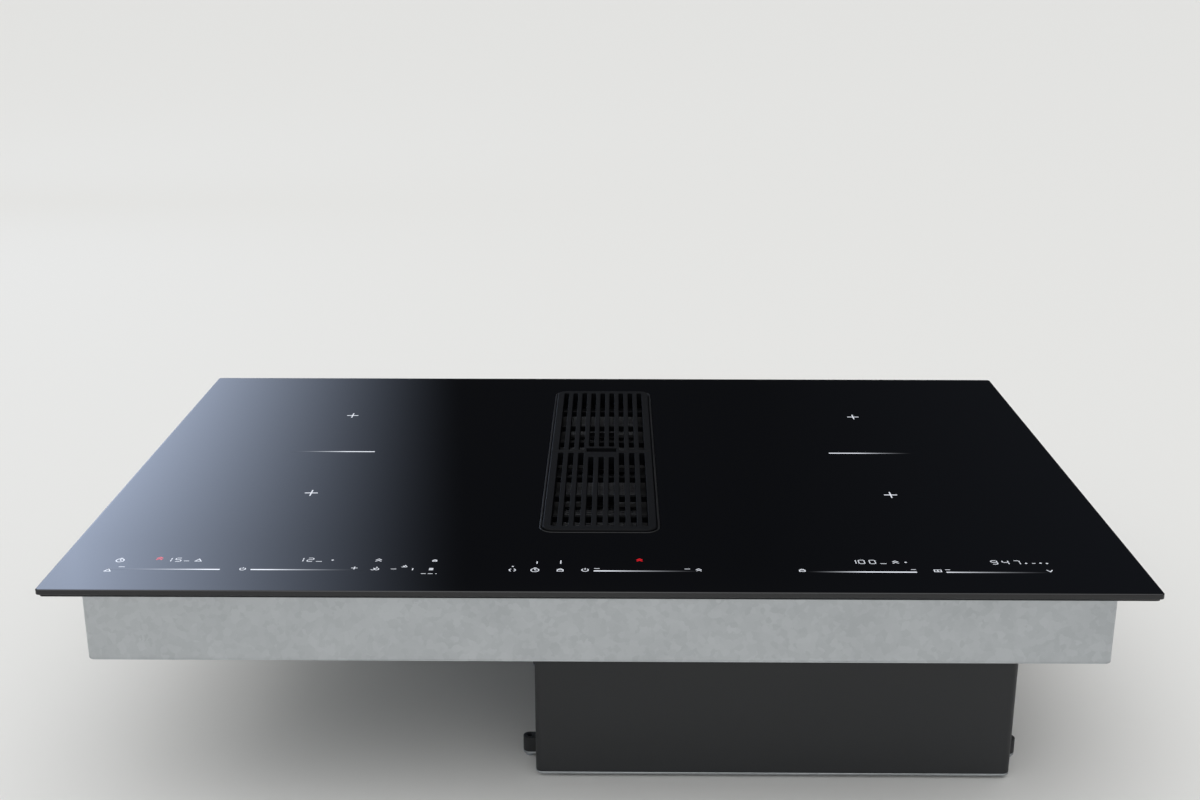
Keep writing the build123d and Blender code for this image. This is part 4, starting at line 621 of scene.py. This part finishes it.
def edge_reach(turn, half, radius):
    """How far a rounded rectangle's edge lies from its middle at each angle: the nearer of its
    two sides, or the corner circle where the ray meets that first."""
    ray = np.abs(np.stack([np.cos(turn), np.sin(turn)], -1))
    side = np.min(half / np.maximum(ray, 1e-9), -1)
    centre = half - radius
    along = ray @ centre
    corner = along + np.sqrt(np.maximum(radius ** 2 - centre @ centre + along ** 2, 0))
    return np.where((side[:, None] * ray > centre).all(-1), corner, side)


def spiral_coil(name, node):
    """A flat spiral in a node's box. Turn t runs at (1 - t / turns) of the eye's radius plus
    t / turns of the outer edge's reach at that angle, and a round section follows it."""
    turns, steps, sides = 18, 64, 10
    wire, eye_radius, corner_radius = 3.4, 26.0, 60.0
    low, high = (np.array(corner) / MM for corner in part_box(node))
    middle, half = (low + high) / 2, (high - low) / 2
    share = np.linspace(0, 1, turns * steps + 1)
    turn = 2 * np.pi * turns * share
    inner = eye_radius + wire / 2
    outer = edge_reach(turn, half[:2], corner_radius) - wire / 2
    reach = (1 - share) * inner + share * outer
    path = np.stack([reach * np.cos(turn), reach * np.sin(turn)], -1)
    step = np.gradient(path, axis=0)
    step /= np.linalg.norm(step, axis=1)[:, None]
    across = np.stack([step[:, 1], -step[:, 0]], -1)
    angle = 2 * np.pi * np.arange(sides) / sides
    flat = path[:, None, :] + across[:, None, :] * (wire / 2 * np.cos(angle))[None, :, None]
    rise = np.broadcast_to(wire / 2 * np.sin(angle), flat.shape[:2])
    made = surface(name, np.concatenate([flat, rise[..., None]], -1) + middle)
    ends = bmesh.new()
    ends.from_mesh(made.data)
    bmesh.ops.holes_fill(ends, edges=[edge for edge in ends.edges if edge.is_boundary])
    bmesh.ops.recalc_face_normals(ends, faces=ends.faces)
    ends.to_mesh(made.data)
    ends.free()
    # the twist's map: half the millimetres along the wire, and thirds of a turn round it
    length = np.concatenate([[0], np.cumsum(np.linalg.norm(np.diff(path, axis=0), axis=1))])
    corners = np.empty(len(made.data.loops), np.int32)
    made.data.loops.foreach_get("vertex_index", corners)
    twist = np.stack([length[corners // sides] / 2, (corners % sides) / sides * 3], -1)
    layer = made.data.uv_layers.new(name="twist")
    layer.data.foreach_set("uv", twist.astype(np.float32).ravel())
    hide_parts(node)
    return made


coils = [spiral_coil(f"litz_{zone}", f"coil_{zone}")
         for zone in ("front_left", "rear_left", "front_right", "rear_right")]
dress(coils, litz, "root")
# Chokes: single enamelled copper wire, clear and shiny.
enamelled = grained("copper, enamelled", ("A8532A", "C06A38"), (0.22, 0.35),
                    grain=0.8, depth=0.01, blotch=6.0, metallic=1.0)
dress(["chokes"], enamelled)

# Printed boards: green solder mask over copper tracks 1.2 mm wide, which show as raised,
# lighter lines.
board, tree, shader, where = begin("circuit board, green mask", "12402C", roughness=0.35)
tracks = add(tree, "TexBrick", {
    "Vector": where, "Scale": 1.0, "Color1": (1, 1, 1, 1), "Color2": (0.4, 0.4, 0.4, 1),
    "Mortar": (0, 0, 0, 1), "Mortar Size": 0.6 * MM, "Brick Width": 9 * MM,
    "Row Height": 2.4 * MM,
}, offset=0.37)
vary(tree, shader, tracks.outputs["Color"], colours=("0D2F20", "1B5E40"), depth=0.06)
dress(["power_board_left", "power_board_right", "touch_board"], board)

# Capacitors: dark blue shrink sleeve, bare aluminium on every face that looks straight up.
sleeve, tree, shader, where = begin("capacitor sleeve", "1C2A4A", roughness=0.3)
facing = add(tree, "SeparateXYZ", {"Vector": add(tree, "NewGeometry").outputs["Normal"]})
top = add(tree, "Math", {0: facing.outputs["Z"], 1: 0.9}, operation="GREATER_THAN").outputs[0]
vary(tree, shader, top, colours=("1C2A4A", "C4C6C8"))
tree.links.new(top, shader.inputs["Metallic"])
dress(["capacitors"], sleeve)
# Frosted acrylic light guides: milky and satin.
acrylic = grained("acrylic, frosted", ("D8DEE4", "E4E9EE"), (0.3, 0.45),
                  grain=0.5, depth=0.01, ior=1.49)
dress(["touch_lights"], acrylic)
# Fan mouldings in glass-filled PBT: black and satin.
fan_plastic = grained("PBT, moulded black", ("121314", "18191B"), (0.38, 0.5),
                      grain=0.4, depth=0.012)
dress(["fan_housing_left", "fan_rotor_left", "fan_housing_right", "fan_rotor_right"],
      fan_plastic)
# Terminal box in light grey polyamide, gland in black polyamide: smooth, a soft shine.
terminal_plastic = grained("polyamide, light grey", ("C9C9C5", "D4D4D0"), (0.4, 0.5),
                           grain=0.5, depth=0.012)
dress(["terminal_box", "terminal_cover"], terminal_plastic)
gland = grained("polyamide, black", ("18191B", "202225"), (0.35, 0.45), grain=0.5, depth=0.012)
dress([softened("cable_gland", "cable_gland_body", edge=0.4)], gland, "root")


# Blower. A moulded box on the casing with a galvanised cover; in it a two-part scroll, a
# forward-curved wheel on an external-rotor motor, and the outlet spigot with its flap.

# Moulded polypropylene with talc: black-grey, satin, a fine leather of grain.
blower_plastic = grained("polypropylene, talc filled", ("1A1C1E", "212326"), (0.42, 0.56),
                         grain=0.7, depth=0.03)
dress([softened("blower_box", "blower_box_moulding", edge=0.5),
       softened("outlet_spigot", "outlet_spigot_moulding", edge=0.5)],
      blower_plastic, "root")
dress([softened("blower_cover", "blower_cover_sheet", edge=0.6),
       softened("clamp_brackets", "clamp_bracket_sheets", edge=0.4)],
      galvanised, "root")
# Scroll and flap in a lighter polypropylene, wheel in smooth dark polyamide.
scroll_plastic = grained("polypropylene, moulded mid grey", ("34373A", "3E4144"), (0.4, 0.52),
                         grain=0.6, depth=0.02)
dress(["scroll_lower", "scroll_upper", "backdraft_flap"], scroll_plastic)
wheel_plastic = grained("polyamide, moulded wheel", ("202224", "282A2D"), (0.35, 0.48),
                        grain=0.5, depth=0.012)
dress(["impeller"], wheel_plastic)
# Deep-drawn steel cup, zinc plated: bright, with drawing lines round its wall.
rotor_metal = rolled("steel, deep drawn and zinc plated", ("A9ADB2", "C0C4C8"), (0.25, 0.4),
                     stretch=(1, 1, 0.05))
dress(["motor_rotor"], rotor_metal)
# Bearing steel, ground: the smoothest metal here, with grinding lines 0.3 mm apart.
bearing_metal = rolled("bearing steel, ground", ("B4B7BA", "C9CBCD"), (0.12, 0.22),
                       stretch=(1, 0.05, 1), grain=0.3, depth=0.003)
dress(["motor_bearings", "flap_pin"], bearing_metal)
# Stacked electrical steel: dark sheet edges 0.5 mm thick, one above the other.
stator_metal = rolled("electrical steel, stacked", ("5A5754", "77736F"), (0.4, 0.6),
                      stretch=(0.02, 0.02, 1), depth=0.05)
dress(["motor_stator"], stator_metal)
# Die-cast aluminium: dull light grey with a rough skin.
base_metal = grained("aluminium, die cast", ("A4A7AA", "B4B7B9"), (0.42, 0.6),
                     grain=0.8, depth=0.03, metallic=1.0)
dress(["motor_base"], base_metal)
# Zinc-plated screws: bright, with a slight blue cast.
screw_metal = grained("steel, blue zinc plated", ("B3BAC4", "C6CCD4"), (0.22, 0.34),
                      grain=0.6, depth=0.006, metallic=1.0)
dress(["fixing_screws"], screw_metal)


# Stage, light and camera. A pale floor that the cooktop stands on, a pale wall 20 m away all
# round, so that low views show no edge, and the soft light that the plate mirrors at the left.

def rectangle(name, corners):
    """A flat four-cornered face, its corners in metres."""
    mesh = bpy.data.meshes.new(name)
    mesh.from_pydata(corners, [], [(0, 1, 2, 3)])
    return placed(name, mesh)


ground_z = cad_low.z
floor = rectangle("floor", [(-60, -40, ground_z), (60, -40, ground_z),
                            (60, 80, ground_z), (-60, 80, ground_z)])
floor.data.materials.append(begin("pale floor", "E4E4E2", roughness=0.9)[0])

round_wall = arc_path(20000, 0, 350)
backdrop = surface("backdrop", np.stack([
    np.column_stack([round_wall, np.full(len(round_wall), level)])
    for level in (ground_z / MM - 1, 16000.0)
]))
pale, tree = bare("pale backdrop")
even = add(tree, "Emission", {"Color": linear("E5E5E3"), "Strength": 1.0})
add(tree, "OutputMaterial", {"Surface": even.outputs["Emission"]})
backdrop.data.materials.append(pale)
backdrop.visible_glossy = backdrop.visible_diffuse = backdrop.visible_shadow = False

# The panel stands behind the plate. Its light is a curve along X times four ramps, each between
# two places in metres, so it is bright at the left end and fades out to all edges. A faint
# light at its right end gives the plate's right side its trace of sheen. The panel lets the
# room's light through, so the plate mirrors no edge of it.
sheen_strength, sheen_curve = 3.9, 1.8
panel = rectangle("soft_panel", [(-2.9, 2.5, 0.1), (2.2, 2.5, 0.1),
                                 (2.2, 2.5, 2.3), (-2.9, 2.5, 2.3)])
panel_light, tree = bare("soft panel")
where = add(tree, "SeparateXYZ", {"Vector": add(tree, "TexCoord").outputs["Object"]})
sweep = add(tree, "MapRange", {"Value": where.outputs["X"], "From Min": -0.38, "From Max": -1.46})
left = add(tree, "Math", {0: sweep.outputs["Result"], 1: sheen_curve},
           operation="POWER").outputs[0]
for axis, dark, bright, low, high in (
    ("X", -2.85, -1.65, 0.0, 1.0),
    ("Z", 0.15, 0.55, 0.0, 1.0),
    ("Z", 2.2, 1.4, 0.0, 1.0),
    ("Z", 1.15, 0.69, 1.0, 1.36),
):
    ramp = add(tree, "MapRange", {
        "Value": where.outputs[axis], "From Min": dark, "From Max": bright,
        "To Min": low, "To Max": high,
    })
    left = add(tree, "Math", {0: left, 1: ramp.outputs["Result"]}, operation="MULTIPLY").outputs[0]
right = add(tree, "MapRange", {
    "Value": where.outputs["X"], "From Min": 0.4, "From Max": 1.5,
    "To Min": 0.005, "To Max": 0.035,
})
edge = add(tree, "MapRange", {"Value": where.outputs["X"], "From Min": 2.2, "From Max": 1.7})
trace = add(tree, "Math", {0: right.outputs["Result"], 1: edge.outputs["Result"]},
            operation="MULTIPLY")
strength = add(tree, "Math", {0: left, 1: sheen_strength, 2: trace.outputs[0]},
               operation="MULTIPLY_ADD")
glow = add(tree, "Emission", {"Color": linear("C4D2EC"), "Strength": strength.outputs[0]})
clear = add(tree, "BsdfTransparent")
added = add(tree, "AddShader", {0: glow.outputs["Emission"], 1: clear.outputs["BSDF"]})
add(tree, "OutputMaterial", {"Surface": added.outputs[0]})
panel.data.materials.append(panel_light)
panel.visible_camera = panel.visible_diffuse = panel.visible_shadow = False
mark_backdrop(floor, backdrop, panel)

# The room's light comes from above and, more faintly, from the front. The key light is a soft
# lobe from the upper left in front: the cosine from its middle, raised to a power. A strength
# of 1 shows as white.
key_direction, key_strength, key_power = (-0.262, -0.530, 0.8065), 0.985, 3.0
world = bpy.data.worlds.new("soft room")
world.use_nodes = True
tree = world.node_tree
tree.nodes.clear()
direction = add(tree, "TexCoord").outputs["Generated"]
towards = add(tree, "SeparateXYZ", {"Vector": direction})
above = add(tree, "MapRange", {
    "Value": towards.outputs["Z"], "From Min": 0.4, "From Max": 1.0,
    "To Min": 0.0, "To Max": 1.15,
}, interpolation_type="SMOOTHSTEP")
front = add(tree, "MapRange", {
    "Value": towards.outputs["Y"], "From Min": 0.2, "From Max": -0.4,
    "To Min": 0.006, "To Max": 0.3,
}, interpolation_type="SMOOTHSTEP")
room = add(tree, "Math", {0: above.outputs["Result"], 1: front.outputs["Result"]},
           operation="ADD")
cosine = add(tree, "VectorMath", {0: direction, 1: key_direction}, operation="DOT_PRODUCT")
lit_half = add(tree, "Math", {0: cosine.outputs["Value"], 1: 0.0}, operation="MAXIMUM")
lobe = add(tree, "Math", {0: lit_half.outputs[0], 1: key_power}, operation="POWER")
total = add(tree, "Math", {0: lobe.outputs[0], 1: key_strength, 2: room.outputs[0]},
            operation="MULTIPLY_ADD")
sky = add(tree, "Background", {"Color": (1, 1, 1, 1), "Strength": total.outputs[0]})
add(tree, "OutputWorld", {"Surface": sky.outputs[0]})
bpy.context.scene.world = world

# The camera stands where the photograph's does, found from the plate's four corners: 1.2 m in
# front of the middle, looking down and a little to the left.
look_down, look_left = 17.67, 0.55      # degrees
lens = bpy.data.cameras.new("camera")
lens.lens = 44.66
lens.sensor_width = 36.0
lens.clip_start, lens.clip_end = 0.05, 200.0
camera = placed("camera", lens)
camera.location = (0.0107, -1.2207, 0.4546)
camera.rotation_euler = (math.radians(90 - look_down), 0.0, math.radians(look_left))
bpy.context.scene.camera = camera
bpy.context.scene.view_settings.view_transform = "Standard"

low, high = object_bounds()
